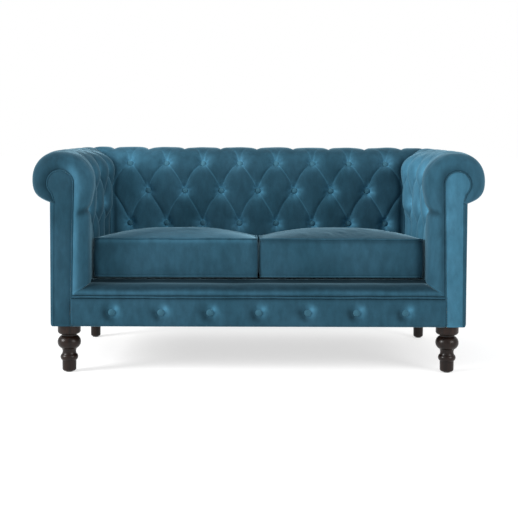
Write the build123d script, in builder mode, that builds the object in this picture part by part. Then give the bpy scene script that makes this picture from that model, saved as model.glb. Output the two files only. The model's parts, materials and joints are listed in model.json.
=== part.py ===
"""Two-seat rolled-arm sofa with deep buttoning, loose box cushions and turned front legs.

Millimetres. X runs along the sofa, Y from the front to the back, +Z up. The origin is on the floor,
in the middle of the sofa's width and depth.
"""

import os
from math import cos, pi, radians, sin, sqrt, tan

from build123d import *

os.makedirs("parts", exist_ok=True)

# Overall size
WIDTH = 1500.0
DEPTH = 800.0
HEIGHT = 734.0
HALF_WIDTH = WIDTH / 2
HALF_DEPTH = DEPTH / 2
FRONT_Y = -HALF_DEPTH

# Arm and back section: a padded face that runs up into an outward roll
ROLL_RADIUS = 86.0
ROLL_FLAT = 16.0
ROLL_Z = HEIGHT - ROLL_RADIUS
INSIDE_X = HALF_WIDTH - 2 * ROLL_RADIUS - ROLL_FLAT
ROLL_IN_X = INSIDE_X + ROLL_RADIUS
ROLL_OUT_X = HALF_WIDTH - ROLL_RADIUS
OUTSIDE_X = 687.0
INSIDE_Y = HALF_DEPTH - 2 * ROLL_RADIUS - ROLL_FLAT
BACK_SHIFT = INSIDE_X - INSIDE_Y
OUTSIDE_Y = OUTSIDE_X - BACK_SHIFT
TUCK_Z = ROLL_Z - sqrt(ROLL_RADIUS**2 - (OUTSIDE_X - ROLL_OUT_X) ** 2)
ARM_PAD_BOTTOM = 296.0
BACK_PAD_BOTTOM = 262.0
FOAM_THICKNESS = 46.0
COVER = 3.0
BORDER_ROUND = 45.0
CORE_X = INSIDE_X + COVER + FOAM_THICKNESS
CORE_HEAD = (654.0, 630.0)
CORE_HEAD_RADIUS = 40.0
CORE_TOP = 604.0

# Facing panel on the front of each arm
FACING_THICKNESS = 6.0
PAD_FRONT_Y = FRONT_Y + FACING_THICKNESS
FACING_HEAD = (652.0, 631.0)
FACING_HEAD_RADIUS = 41.0
FACING_BOTTOM_IN = 621.0
FACING_BOTTOM_OUT = 675.0
FACING_NECK = (672.0, 575.0)
WELT_RADIUS = 3.5

# Wooden frame
BASE_Z = 158.0
RAIL = 25.0
FRONT_RAIL_Y = -376.0
FRONT_RAIL_TOP = 248.0
REAR_RAIL_Y = 305.0
REAR_RAIL_TOP = 206.5
SIDE_RAIL_X = 655.0
SIDE_RAIL_TOP = 230.0
POST_X = 620.0
POST_BACK_Y = -363.0
POST_HEAD_RADIUS = 36.0
REAR_POST_Y = 263.0
TOP_RAIL = 56.0
TOP_RAIL_ROUND = 16.0
TACK_RAIL_X = 613.0
TACK_RAIL_HEIGHT = 40.0
WEB = 1.5
WEB_WIDTH = 50.0

# Seat: deck on springs, falling to the back
RAKE = 3.5
SLOPE = tan(radians(RAKE))
SEAT_FRONT_Y = -325.0
SEAT_FRONT_Z = 302.0
DECK_REAR_Y = 211.0
DECK_HALF = 561.0
DECK_PAD = 46.0
SPRING_DROP = 52.0
SPRING_WIRE = 2.0
SPRING_HALF_WIDTH = 24.0
SPRING_PITCH = 30.0
SPRING_SPACING = 135.0
SPRING_COUNT = 8
LIP_TOP = 296.0

# Front border below the seat
BORDER_THICKNESS = 23.0
BORDER_HALF = 610.5
BORDER_BOTTOM = 159.0
BORDER_TOP = 252.5
LIP_BOTTOM = BORDER_TOP + 2 * WELT_RADIUS
BORDER_BUTTON_SPACING = 161.5
BORDER_BUTTON_Z = 205.0
BORDER_BUTTON_COUNT = 7

# Buttons and the pockets that they sit in
BUTTON_RADIUS = 11.5
BUTTON_HEIGHT = 6.0
BUTTON_ROUND = 4.0
POCKET_DEPTH = 22.0
POCKET_MOUTH = 20.0
POCKET_FLOOR = 13.0
BORDER_POCKET_DEPTH = 9.0
BUTTON_SPACING = 141.0

# Loose cushions
CUSHION_GAP = 4.0
CUSHION_OUTER_X = 555.5
CUSHION_DEPTH = 520.0
CUSHION_HEIGHT = 137.0
CUSHION_LIFT = 4.0
CUSHION_EDGE = 10.0
CUSHION_CORNER = 32.0
PIPING_RADIUS = 4.0
PIPING_OUT = -0.8
ZIP_LENGTH = 470.0
ZIP_TAPE_HEIGHT = 26.0
ZIP_TAPE = 1.2
ZIP_COIL = (5.0, 1.5)
SLIDER = (8.0, 3.2, 11.0)
PULL = (7.0, 1.2, 26.0)

# Legs
FRONT_LEG = (631.0, -352.0)
REAR_LEG = (631.0, 246.0)
GLIDE_HEIGHT = 3.0
GLIDE_RADIUS = 11.0
BOLT_RADIUS = 4.0
BOLT_BOTTOM = 110.0
BOLT_TOP = 200.0
INSERT_RADIUS = 6.0
INSERT_TOP = 190.0
BLOCK_TOP = 222.0


def save(piece, name):
    """Label a finished piece and write it out."""
    piece.part.label = name
    export_step(piece.part, f"parts/{name}.step")


def across(y):
    """Plane facing the front at depth y; its own x and y are the sofa's X and Z."""
    return Plane(origin=(0, y, 0), x_dir=(1, 0, 0), z_dir=(0, -1, 0))


def along(x, shift=0.0):
    """Plane facing the right at X = x; its own x and y are the sofa's Y (less shift) and Z."""
    return Plane(origin=(x, shift, 0), x_dir=(0, 1, 0), z_dir=(1, 0, 0))


def deck_z(y):
    """Height of the seat deck's top at depth y."""
    return SEAT_FRONT_Z - SLOPE * (y - SEAT_FRONT_Y)


def box(x, y, z):
    """A box in the current part, from its lowest to its highest X, Y and Z."""
    with Locations(((x[0] + x[1]) / 2, (y[0] + y[1]) / 2, (z[0] + z[1]) / 2)):
        Box(x[1] - x[0], y[1] - y[0], z[1] - z[0])


def mirrored(source):
    """The left-hand twin of a right-hand piece."""
    with BuildPart() as twin:
        mirror(source.part, about=Plane.YZ)
    return twin


def on_both_sides(source):
    """One node that holds a right-hand piece and its left-hand twin."""
    with BuildPart() as both:
        add(source.part)
        mirror(source.part, about=Plane.YZ)
    return both


# ---------------------------------------------------------------- padded arms and back


def core_outline():
    """Space inside the arm or back, taken up by the frame."""
    with BuildSketch() as outline:
        with Locations(((CORE_X + OUTSIDE_X) / 2, CORE_TOP / 2)):
            Rectangle(OUTSIDE_X - CORE_X, CORE_TOP)
        with Locations(CORE_HEAD):
            Circle(CORE_HEAD_RADIUS)
    return outline.sketch


def roll_outline(inset):
    """The roll alone, a flattened circle, drawn inset from its cover."""
    with BuildSketch() as outline:
        with Locations(((ROLL_IN_X + ROLL_OUT_X) / 2, ROLL_Z)):
            SlotOverall(2 * ROLL_RADIUS + ROLL_FLAT - 2 * inset, 2 * (ROLL_RADIUS - inset))
    return outline.sketch


def face_outline(inset, bottom):
    """The upright face below the roll."""
    with BuildSketch() as outline:
        with Locations(((INSIDE_X + inset + OUTSIDE_X) / 2, (bottom + ROLL_Z) / 2)):
            Rectangle(OUTSIDE_X - INSIDE_X - inset, ROLL_Z - bottom)
    return outline.sketch


def mitre_plane(side):
    """Upright plane through the inner and outer corners where an arm meets the back."""
    return Plane(
        origin=(side * INSIDE_X, INSIDE_Y, 0), x_dir=(side, 1, 0), z_dir=(-side, 1, 0)
    )


def arm_block(inset):
    """Right arm, padding and cover in one, with a rounded front border."""
    start = PAD_FRONT_Y + inset
    length = HALF_DEPTH - start
    with BuildPart() as face:
        with BuildSketch(across(start)):
            add(face_outline(inset, ARM_PAD_BOTTOM))
        extrude(amount=-length)
        front = face.edges().filter_by(Axis.Z).group_by(Axis.Y)[0].sort_by(Axis.X)[0]
        fillet(front, BORDER_ROUND - inset)
    with BuildPart() as block:
        with BuildSketch(across(start)):
            add(roll_outline(inset))
        extrude(amount=-length)
        fillet(block.faces().sort_by(Axis.Y)[0].edges(), BORDER_ROUND - inset)
        add(face.part)
        split(bisect_by=mitre_plane(1), keep=Keep.BOTTOM)
        with BuildSketch(across(start - 1)):
            add(core_outline())
        extrude(amount=-(length + 2), mode=Mode.SUBTRACT)
    return block


def back_block(inset):
    """Back, padding and cover in one, mitred at both ends."""
    with BuildPart() as block:
        with BuildSketch(along(-HALF_WIDTH, -BACK_SHIFT)):
            add(face_outline(inset, BACK_PAD_BOTTOM))
        extrude(amount=WIDTH)
        with BuildSketch(along(-HALF_WIDTH, -BACK_SHIFT)):
            add(roll_outline(inset))
        extrude(amount=WIDTH)
        split(bisect_by=mitre_plane(1), keep=Keep.TOP)
        split(bisect_by=mitre_plane(-1), keep=Keep.TOP)
        with BuildSketch(along(-HALF_WIDTH, -BACK_SHIFT)):
            add(core_outline())
        extrude(amount=WIDTH, mode=Mode.SUBTRACT)
    return block


def over_roll(run):
    """Point and outward direction on the padded face, run mm past the start of the roll."""
    quarter = ROLL_RADIUS * pi / 2
    if run <= 0:
        return (INSIDE_X, ROLL_Z + run), (-1.0, 0.0)
    if run <= quarter:
        turn = run / ROLL_RADIUS
        out = (-cos(turn), sin(turn))
        return (ROLL_IN_X + ROLL_RADIUS * out[0], ROLL_Z + ROLL_RADIUS * out[1]), out
    if run <= quarter + ROLL_FLAT:
        return (ROLL_IN_X + run - quarter, HEIGHT), (0.0, 1.0)
    turn = (run - quarter - ROLL_FLAT) / ROLL_RADIUS
    out = (sin(turn), cos(turn))
    return (ROLL_OUT_X + ROLL_RADIUS * out[0], ROLL_Z + ROLL_RADIUS * out[1]), out


def arm_button(run, y):
    """Plane on the right arm's surface, facing out, where a button goes."""
    (x, z), (out_x, out_z) = over_roll(run)
    return Plane(origin=(x, y, z), x_dir=(0, 1, 0), z_dir=(out_x, 0, out_z))


def back_button(run, x):
    """Plane on the back's surface, facing out, where a button goes."""
    (y, z), (out_y, out_z) = over_roll(run)
    return Plane(origin=(x, y - BACK_SHIFT, z), x_dir=(1, 0, 0), z_dir=(0, out_y, out_z))


def row(count):
    """Button places along one row, centred on zero."""
    return [BUTTON_SPACING * (i - (count - 1) / 2) for i in range(count)]


BACK_ROWS = [(200.0, 7), (40.5, 8), (-74.0, 7), (-200.0, 8)]
BACK_BUTTONS = [back_button(run, x) for run, count in BACK_ROWS for x in row(count)]
ARM_ROWS = [(190.0, -64.5, 4), (12.0, -65.0, 3), (-108.0, -64.5, 4)]
ARM_BUTTONS = [
    arm_button(run, middle + y) for run, middle, count in ARM_ROWS for y in row(count)
]
BORDER_BUTTONS = [
    Plane(origin=(BORDER_BUTTON_SPACING * i, FRONT_Y, BORDER_BUTTON_Z), z_dir=(0, -1, 0))
    for i in range(-(BORDER_BUTTON_COUNT // 2), BORDER_BUTTON_COUNT // 2 + 1)
]


def pockets(places, depth, wall, rise=4.0):
    """Cone-shaped pockets, wall mm larger than the button's own, opening rise mm proud."""
    widening = (POCKET_MOUTH - POCKET_FLOOR) / POCKET_DEPTH
    with BuildPart() as cones:
        with Locations(*[place.offset(rise) for place in places]):
            Cone(
                bottom_radius=POCKET_FLOOR + wall,
                top_radius=POCKET_FLOOR + wall + widening * (depth + wall + rise),
                height=depth + wall + rise,
                align=(Align.CENTER, Align.CENTER, Align.MAX),
            )
    return cones


def padding(block, places):
    """Foam with a pocket at each button."""
    with BuildPart() as foam:
        add(block.part)
        add(pockets(places, POCKET_DEPTH, COVER).part, mode=Mode.SUBTRACT)
    return foam


def upholstery(block, foam, places):
    """Cover drawn over the foam and down into each button's pocket."""
    with BuildPart() as cover:
        add(block.part)
        add(foam.part, mode=Mode.SUBTRACT)
        add(pockets(places, POCKET_DEPTH, 0.0).part, mode=Mode.SUBTRACT)
    return cover


def one_button():
    """A covered button: a flat base with a well rounded top edge."""
    with BuildPart() as button:
        Cylinder(BUTTON_RADIUS, BUTTON_HEIGHT, align=(Align.CENTER, Align.CENTER, Align.MIN))
        fillet(button.edges().group_by(Axis.Z)[-1], BUTTON_ROUND)
    return button


def buttons(places, depth):
    """Buttons standing on the floors of their pockets."""
    button = one_button()
    with BuildPart() as group:
        with Locations(*[place.offset(-depth) for place in places]):
            add(button.part)
    return group


back_foam = padding(back_block(COVER), BACK_BUTTONS)
save(back_foam, "back_foam")
back_cover = upholstery(back_block(0.0), back_foam, BACK_BUTTONS)
save(back_cover, "back_cover")
save(buttons(BACK_BUTTONS, POCKET_DEPTH), "back_buttons")

right_arm_foam = padding(arm_block(COVER), ARM_BUTTONS)
save(right_arm_foam, "right_arm_foam")
save(mirrored(right_arm_foam), "left_arm_foam")
right_arm_cover = upholstery(arm_block(0.0), right_arm_foam, ARM_BUTTONS)
save(right_arm_cover, "right_arm_cover")
save(mirrored(right_arm_cover), "left_arm_cover")
right_arm_buttons = buttons(ARM_BUTTONS, POCKET_DEPTH)
save(right_arm_buttons, "right_arm_buttons")
save(mirrored(right_arm_buttons), "left_arm_buttons")


# ---------------------------------------------------------------- facings, panels and welts


def facing_edge():
    """The facing's edge, from the bottom up its inner side, round the head and down."""
    head_x, head_z = FACING_HEAD
    neck_angle = radians(-50)
    neck_top = (
        head_x + FACING_HEAD_RADIUS * cos(neck_angle),
        head_z + FACING_HEAD_RADIUS * sin(neck_angle),
    )
    with BuildLine() as edge:
        Line((FACING_BOTTOM_IN, BORDER_BOTTOM), (head_x - FACING_HEAD_RADIUS, head_z))
        CenterArc(FACING_HEAD, FACING_HEAD_RADIUS, 180, -230)
        Line(neck_top, FACING_NECK)
        Line(FACING_NECK, (FACING_BOTTOM_OUT, BORDER_BOTTOM))
    return edge.line


facing_line = facing_edge()

with BuildPart() as right_facing_panel:
    with BuildSketch(across(FRONT_Y)):
        with BuildLine():
            add(facing_line)
            Line((FACING_BOTTOM_OUT, BORDER_BOTTOM), (FACING_BOTTOM_IN, BORDER_BOTTOM))
        make_face()
    extrude(amount=-FACING_THICKNESS)
save(right_facing_panel, "right_facing_panel")
save(mirrored(right_facing_panel), "left_facing_panel")

with BuildPart() as right_facing_welt:
    with BuildSketch(across(FRONT_Y)) as band:
        with BuildLine():
            add(facing_line)
            Line((FACING_BOTTOM_OUT, BORDER_BOTTOM), (FACING_BOTTOM_IN, BORDER_BOTTOM))
        make_face()
        offset(amount=2 * WELT_RADIUS, mode=Mode.REPLACE)
        with Locations((FACING_BOTTOM_IN, BORDER_BOTTOM)):
            Rectangle(WIDTH, 6 * WELT_RADIUS, align=(Align.CENTER, Align.MAX), mode=Mode.SUBTRACT)
    extrude(amount=-FACING_THICKNESS)
    add(right_facing_panel.part, mode=Mode.SUBTRACT)
save(right_facing_welt, "right_facing_welt")
save(mirrored(right_facing_welt), "left_facing_welt")

with BuildPart() as right_outside_arm_panel:
    box((OUTSIDE_X - 5, OUTSIDE_X), (PAD_FRONT_Y, OUTSIDE_Y), (BASE_Z, TUCK_Z))
save(right_outside_arm_panel, "right_outside_arm_panel")
save(mirrored(right_outside_arm_panel), "left_outside_arm_panel")

with BuildPart() as outside_back_panel:
    box((-OUTSIDE_X + 6, OUTSIDE_X - 6), (OUTSIDE_Y - 5, OUTSIDE_Y), (BASE_Z, TUCK_Z))
save(outside_back_panel, "outside_back_panel")

with BuildPart() as front_border_panel:
    box((-BORDER_HALF, BORDER_HALF), (FRONT_Y, FRONT_Y + BORDER_THICKNESS), (BORDER_BOTTOM, BORDER_TOP))
    fillet(front_border_panel.faces().sort_by(Axis.Y)[0].edges().filter_by(Axis.X), 4)
    add(pockets(BORDER_BUTTONS, BORDER_POCKET_DEPTH, 0.0).part, mode=Mode.SUBTRACT)
save(front_border_panel, "front_border_panel")
save(buttons(BORDER_BUTTONS, BORDER_POCKET_DEPTH), "front_border_buttons")

with BuildPart() as front_border_welt:
    with BuildSketch(along(-BORDER_HALF)):
        with Locations((FRONT_Y + WELT_RADIUS, BORDER_TOP + WELT_RADIUS)):
            Circle(WELT_RADIUS)
    extrude(amount=2 * BORDER_HALF)
save(front_border_welt, "front_border_welt")


# ---------------------------------------------------------------- seat lip and deck


def lip_arc(inset):
    """The lip's rounded slope from the welt up to the seat, inset from its cover."""
    return ThreePointArc(
        (FRONT_Y + inset, LIP_BOTTOM),
        (FRONT_Y + 34 + inset / 2, LIP_BOTTOM + 25 - inset),
        (SEAT_FRONT_Y, LIP_TOP - inset),
    )


with BuildPart() as front_edge_foam:
    with BuildSketch(along(-BORDER_HALF)):
        with BuildLine():
            add(lip_arc(COVER))
            Polyline(
                (SEAT_FRONT_Y, LIP_TOP - COVER),
                (SEAT_FRONT_Y, LIP_BOTTOM),
                (FRONT_Y + COVER, LIP_BOTTOM),
            )
        make_face()
    extrude(amount=2 * BORDER_HALF)
save(front_edge_foam, "front_edge_foam")

with BuildPart() as front_lip_cover:
    with BuildSketch(along(-BORDER_HALF)):
        with BuildLine():
            add(lip_arc(0.0))
            Polyline(
                (SEAT_FRONT_Y, LIP_TOP),
                (SEAT_FRONT_Y, LIP_BOTTOM),
                (FRONT_Y, LIP_BOTTOM),
            )
        make_face()
    extrude(amount=2 * BORDER_HALF)
    add(front_edge_foam.part, mode=Mode.SUBTRACT)
save(front_lip_cover, "front_lip_cover")


def deck_layer(top, thickness):
    """A layer of the raked seat deck whose top is top mm below the deck's surface."""
    with BuildPart() as layer:
        with BuildSketch(along(-DECK_HALF)):
            with BuildLine():
                Polyline(
                    (SEAT_FRONT_Y, deck_z(SEAT_FRONT_Y) - top),
                    (DECK_REAR_Y, deck_z(DECK_REAR_Y) - top),
                    (DECK_REAR_Y, deck_z(DECK_REAR_Y) - top - thickness),
                    (SEAT_FRONT_Y, deck_z(SEAT_FRONT_Y) - top - thickness),
                    close=True,
                )
            make_face()
        extrude(amount=2 * DECK_HALF)
    return layer


save(deck_layer(0.0, COVER), "seat_deck_cover")
save(deck_layer(COVER, DECK_PAD), "seat_deck_pad")


# ---------------------------------------------------------------- frame

with BuildPart() as front_rail:
    box((-POST_X, POST_X), (FRONT_RAIL_Y, FRONT_RAIL_Y + RAIL), (BASE_Z, FRONT_RAIL_TOP))
save(front_rail, "front_rail")

with BuildPart() as rear_rail:
    box((-680, 680), (REAR_RAIL_Y, REAR_RAIL_Y + RAIL), (BASE_Z, REAR_RAIL_TOP))
save(rear_rail, "rear_rail")

with BuildPart() as right_side_rail:
    box((SIDE_RAIL_X, SIDE_RAIL_X + RAIL), (POST_BACK_Y, REAR_POST_Y), (BASE_Z, SIDE_RAIL_TOP))
save(right_side_rail, "right_side_rail")
save(mirrored(right_side_rail), "left_side_rail")

with BuildPart() as centre_rail:
    box((-20, 20), (FRONT_RAIL_Y + RAIL, REAR_RAIL_Y), (BASE_Z, BASE_Z + 38))
save(centre_rail, "centre_rail")

with BuildPart() as corner_block_pair:
    box((POST_X, SIDE_RAIL_X), (POST_BACK_Y, -300), (BASE_Z, BLOCK_TOP))
    box((590, SIDE_RAIL_X), (205, REAR_POST_Y), (BASE_Z, BLOCK_TOP))
    with Locations((*FRONT_LEG, BASE_Z), (*REAR_LEG, BASE_Z)):
        Cylinder(
            INSERT_RADIUS,
            BOLT_TOP + 6 - BASE_Z,
            align=(Align.CENTER, Align.CENTER, Align.MIN),
            mode=Mode.SUBTRACT,
        )
save(on_both_sides(corner_block_pair), "corner_blocks")

with BuildPart() as right_arm_post:
    with BuildSketch(across(PAD_FRONT_Y + 1)):
        with Locations(((POST_X + 678) / 2, (BASE_Z + 602) / 2)):
            Rectangle(678 - POST_X, 602 - BASE_Z)
        with Locations(FACING_HEAD):
            Circle(POST_HEAD_RADIUS)
    extrude(amount=PAD_FRONT_Y + 1 - POST_BACK_Y)
save(right_arm_post, "right_arm_post")
save(mirrored(right_arm_post), "left_arm_post")

with BuildPart() as rear_post:
    box((TACK_RAIL_X, 680), (REAR_POST_Y, 304), (BASE_Z, 602))
save(on_both_sides(rear_post), "rear_posts")


def top_rail_outline():
    """Rounded square section of the rail inside the roll."""
    with BuildSketch() as outline:
        with Locations(CORE_HEAD):
            RectangleRounded(TOP_RAIL, TOP_RAIL, TOP_RAIL_ROUND)
    return outline.sketch


with BuildPart() as arm_top_rail:
    with BuildSketch(across(POST_BACK_Y)):
        add(top_rail_outline())
    extrude(amount=-(CORE_HEAD[0] - TOP_RAIL / 2 - BACK_SHIFT - POST_BACK_Y))
save(on_both_sides(arm_top_rail), "arm_top_rails")

with BuildPart() as back_top_rail:
    with BuildSketch(along(-682, -BACK_SHIFT)):
        add(top_rail_outline())
    extrude(amount=2 * 682)
save(back_top_rail, "back_top_rail")

with BuildPart() as arm_tack_rail:
    box(
        (TACK_RAIL_X, TACK_RAIL_X + RAIL),
        (POST_BACK_Y, REAR_POST_Y),
        (ARM_PAD_BOTTOM, ARM_PAD_BOTTOM + TACK_RAIL_HEIGHT),
    )
save(on_both_sides(arm_tack_rail), "arm_tack_rails")

with BuildPart() as back_tack_rail:
    box(
        (-TACK_RAIL_X, TACK_RAIL_X),
        (REAR_POST_Y, REAR_POST_Y + RAIL),
        (BACK_PAD_BOTTOM, BACK_PAD_BOTTOM + TACK_RAIL_HEIGHT),
    )
save(back_tack_rail, "back_tack_rail")

with BuildPart() as back_upright:
    box((-20, 20), (REAR_POST_Y + RAIL, REAR_RAIL_Y + RAIL), (REAR_RAIL_TOP, 602))
save(back_upright, "back_upright")


# ---------------------------------------------------------------- webbing and springs

with BuildPart() as back_webbing:
    with Locations((0, TACK_RAIL_X - BACK_SHIFT - WEB / 2, (BACK_PAD_BOTTOM + 600) / 2)):
        with GridLocations(160, 0, 7, 1):
            Box(WEB_WIDTH, WEB, 600 - BACK_PAD_BOTTOM)
save(back_webbing, "back_webbing")

with BuildPart() as arm_webbing:
    with Locations((TACK_RAIL_X - WEB / 2, (POST_BACK_Y + REAR_POST_Y) / 2, (ARM_PAD_BOTTOM + 600) / 2)):
        with GridLocations(0, 140, 1, 4):
            Box(WEB, WEB_WIDTH, 600 - ARM_PAD_BOTTOM)
save(on_both_sides(arm_webbing), "arm_webbing")


def spring_plane(x):
    """Plane of the spring wires, below the deck and parallel to it, at the front rail."""
    y = FRONT_RAIL_Y + RAIL / 2
    return Plane(
        origin=(x, y, deck_z(y) - SPRING_DROP),
        x_dir=(1, 0, 0),
        z_dir=(0, sin(radians(RAKE)), cos(radians(RAKE))),
    )


SPRING_RUN = (REAR_RAIL_Y - FRONT_RAIL_Y) / cos(radians(RAKE))
SPRING_PLACES = [SPRING_SPACING * (i - (SPRING_COUNT - 1) / 2) for i in range(SPRING_COUNT)]


def spring_points():
    """Corners of one zigzag spring, from the front rail to the rear rail."""
    turns = int(SPRING_RUN // SPRING_PITCH)
    pitch = SPRING_RUN / turns
    points = [(-SPRING_HALF_WIDTH, 0)]
    for turn in range(turns):
        reach = SPRING_HALF_WIDTH if turn % 2 == 0 else -SPRING_HALF_WIDTH
        points.append((reach, turn * pitch))
        points.append((reach, (turn + 1) * pitch))
    points.append((-points[-1][0], turns * pitch))
    return points


with BuildPart() as seat_spring:
    with BuildLine(spring_plane(0)) as spring_path:
        FilletPolyline(*spring_points(), radius=SPRING_PITCH / 2 - 1.5)
    with BuildSketch(Plane(spring_path.line @ 0, z_dir=spring_path.line % 0)):
        Circle(SPRING_WIRE)
    sweep()

with BuildPart() as seat_springs:
    with Locations(*[(x, 0, 0) for x in SPRING_PLACES]):
        add(seat_spring.part)
save(seat_springs, "seat_springs")

with BuildPart() as spring_clips:
    clip_places = [
        Plane(spring_plane(x).from_local_coords((0, end, 0)), x_dir=(1, 0, 0), z_dir=spring_plane(x).z_dir)
        for x in SPRING_PLACES
        for end in (0, SPRING_RUN)
    ]
    with Locations(*clip_places):
        Box(22, 16, 7)
        Box(26, 2 * SPRING_WIRE + 0.4, 2 * SPRING_WIRE + 0.4, mode=Mode.SUBTRACT)
save(spring_clips, "spring_clips")


# ---------------------------------------------------------------- loose cushions


def cushion_plane(x, y=0.0, z=0.0):
    """Plane of a cushion's underside at X = x, moved y back and z up in the cushion's own rake."""
    level = Plane(
        origin=(x, SEAT_FRONT_Y, deck_z(SEAT_FRONT_Y) + CUSHION_LIFT),
        x_dir=(1, 0, 0),
        z_dir=(0, sin(radians(RAKE)), cos(radians(RAKE))),
    )
    return Plane(level.from_local_coords((0, y, z)), x_dir=(1, 0, 0), z_dir=level.z_dir)


CUSHION_X = (CUSHION_GAP + CUSHION_OUTER_X) / 2
CUSHION_WIDTH = CUSHION_OUTER_X - CUSHION_GAP
CUSHION_MIDDLE_Y = CUSHION_DEPTH / 2


def cushion_block(inset):
    """Right cushion as a box with rounded corners and edges."""
    with BuildPart() as block:
        with BuildSketch(cushion_plane(CUSHION_X, CUSHION_MIDDLE_Y, inset)):
            RectangleRounded(
                CUSHION_WIDTH - 2 * inset, CUSHION_DEPTH - 2 * inset, CUSHION_CORNER - inset
            )
        extrude(amount=CUSHION_HEIGHT - 2 * inset)
        faces = block.faces().sort_by(Axis.Z)
        rims = faces[0].edges() + faces[-1].edges()
        fillet(rims, CUSHION_EDGE - inset)
    return block


def cushion_ring(height):
    """One run of piping round the right cushion, height mm above its underside."""
    with BuildPart() as ring:
        with BuildLine(cushion_plane(CUSHION_X, CUSHION_MIDDLE_Y, height)) as path:
            side_x = CUSHION_WIDTH / 2 + PIPING_OUT
            side_y = CUSHION_DEPTH / 2 + PIPING_OUT
            corner = CUSHION_CORNER + PIPING_OUT
            Line((-side_x + corner, -side_y), (side_x - corner, -side_y))
            CenterArc((side_x - corner, -side_y + corner), corner, -90, 90)
            Line((side_x, -side_y + corner), (side_x, side_y - corner))
            CenterArc((side_x - corner, side_y - corner), corner, 0, 90)
            Line((side_x - corner, side_y), (-side_x + corner, side_y))
            CenterArc((-side_x + corner, side_y - corner), corner, 90, 90)
            Line((-side_x, side_y - corner), (-side_x, -side_y + corner))
            CenterArc((-side_x + corner, -side_y + corner), corner, 180, 90)
        with BuildSketch(Plane(path.line @ 0, z_dir=path.line % 0)):
            Circle(PIPING_RADIUS)
        sweep()
    return ring


with BuildPart() as right_cushion_piping:
    add(cushion_ring(-PIPING_OUT).part)
    add(cushion_ring(CUSHION_HEIGHT + PIPING_OUT).part)
save(right_cushion_piping, "right_cushion_piping")
save(mirrored(right_cushion_piping), "left_cushion_piping")

right_cushion_core = cushion_block(COVER)
save(right_cushion_core, "right_cushion_core")
save(mirrored(right_cushion_core), "left_cushion_core")

with BuildPart() as right_cushion_cover:
    add(cushion_block(0.0).part)
    add(right_cushion_core.part, mode=Mode.SUBTRACT)
    add(right_cushion_piping.part, mode=Mode.SUBTRACT)
save(right_cushion_cover, "right_cushion_cover")
save(mirrored(right_cushion_cover), "left_cushion_cover")

with BuildPart() as right_cushion_zip:
    with Locations(cushion_plane(CUSHION_X, CUSHION_DEPTH, CUSHION_HEIGHT / 2)):
        Box(ZIP_LENGTH, ZIP_TAPE, ZIP_TAPE_HEIGHT, align=(Align.CENTER, Align.MIN, Align.CENTER))
        with Locations((0, ZIP_TAPE, 0)):
            Box(
                ZIP_LENGTH, ZIP_COIL[1], ZIP_COIL[0], align=(Align.CENTER, Align.MIN, Align.CENTER)
            )
save(right_cushion_zip, "right_cushion_zip")
save(mirrored(right_cushion_zip), "left_cushion_zip")

# The slider stands at the closed end, near the middle of the sofa, and runs outwards.
SLIDER_X = CUSHION_X - ZIP_LENGTH / 2 + SLIDER[2]

with BuildPart() as right_zip_slider:
    with Locations(cushion_plane(SLIDER_X, CUSHION_DEPTH + ZIP_TAPE + 0.3, CUSHION_HEIGHT / 2)):
        Box(SLIDER[2], SLIDER[1], SLIDER[0], align=(Align.CENTER, Align.MIN, Align.CENTER))
        Box(
            SLIDER[2],
            ZIP_COIL[1],
            ZIP_COIL[0] + 0.6,
            align=(Align.CENTER, Align.MIN, Align.CENTER),
            mode=Mode.SUBTRACT,
        )
        with Locations((0, SLIDER[1], SLIDER[0] / 2)):
            Box(*PULL, align=(Align.CENTER, Align.MIN, Align.MAX))
save(right_zip_slider, "right_zip_slider")
save(mirrored(right_zip_slider), "left_zip_slider")


# ---------------------------------------------------------------- legs


def front_leg():
    """Turned front leg: foot, ring, waist, ball, groove and collar, from the floor up."""
    with BuildPart() as leg:
        with BuildSketch(Plane.XZ):
            with BuildLine():
                Line((0, GLIDE_HEIGHT), (16, GLIDE_HEIGHT))
                ThreePointArc((16, GLIDE_HEIGHT), (21.2, 5.5), (23, 11))
                Line((23, 11), (23.4, 39))
                ThreePointArc((23.4, 39), (29.3, 50), (24.5, 60))
                ThreePointArc((24.5, 60), (22.3, 69), (25.5, 79))
                ThreePointArc((25.5, 79), (38.6, 101), (25, 122))
                Line((25, 122), (25, 128))
                ThreePointArc((25, 128), (34, 129.5), (38, 136))
                Polyline((38, 136), (38, BASE_Z), (0, BASE_Z), (0, GLIDE_HEIGHT))
            make_face()
        revolve(axis=Axis.Z)
        with Locations((0, 0, BOLT_BOTTOM)):
            Cylinder(
                BOLT_RADIUS,
                BASE_Z - BOLT_BOTTOM,
                align=(Align.CENTER, Align.CENTER, Align.MIN),
                mode=Mode.SUBTRACT,
            )
    return leg


def rear_leg():
    """Plain rear leg, tapering to a rounded foot."""
    with BuildPart() as leg:
        with BuildSketch(Plane.XZ):
            with BuildLine():
                Line((0, GLIDE_HEIGHT), (13, GLIDE_HEIGHT))
                ThreePointArc((13, GLIDE_HEIGHT), (17, 5), (18.6, 10))
                Polyline((18.6, 10), (21, BASE_Z), (0, BASE_Z), (0, GLIDE_HEIGHT))
            make_face()
        revolve(axis=Axis.Z)
        with Locations((0, 0, BOLT_BOTTOM)):
            Cylinder(
                BOLT_RADIUS,
                BASE_Z - BOLT_BOTTOM,
                align=(Align.CENTER, Align.CENTER, Align.MIN),
                mode=Mode.SUBTRACT,
            )
    return leg


turned_leg = front_leg()
plain_leg = rear_leg()
for leg_name, leg_shape, (leg_x, leg_y) in (
    ("front_leg_left", turned_leg, (-FRONT_LEG[0], FRONT_LEG[1])),
    ("front_leg_right", turned_leg, FRONT_LEG),
    ("rear_leg_left", plain_leg, (-REAR_LEG[0], REAR_LEG[1])),
    ("rear_leg_right", plain_leg, REAR_LEG),
):
    with BuildPart() as placed_leg:
        with Locations((leg_x, leg_y, 0)):
            add(leg_shape.part)
    save(placed_leg, leg_name)

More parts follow.
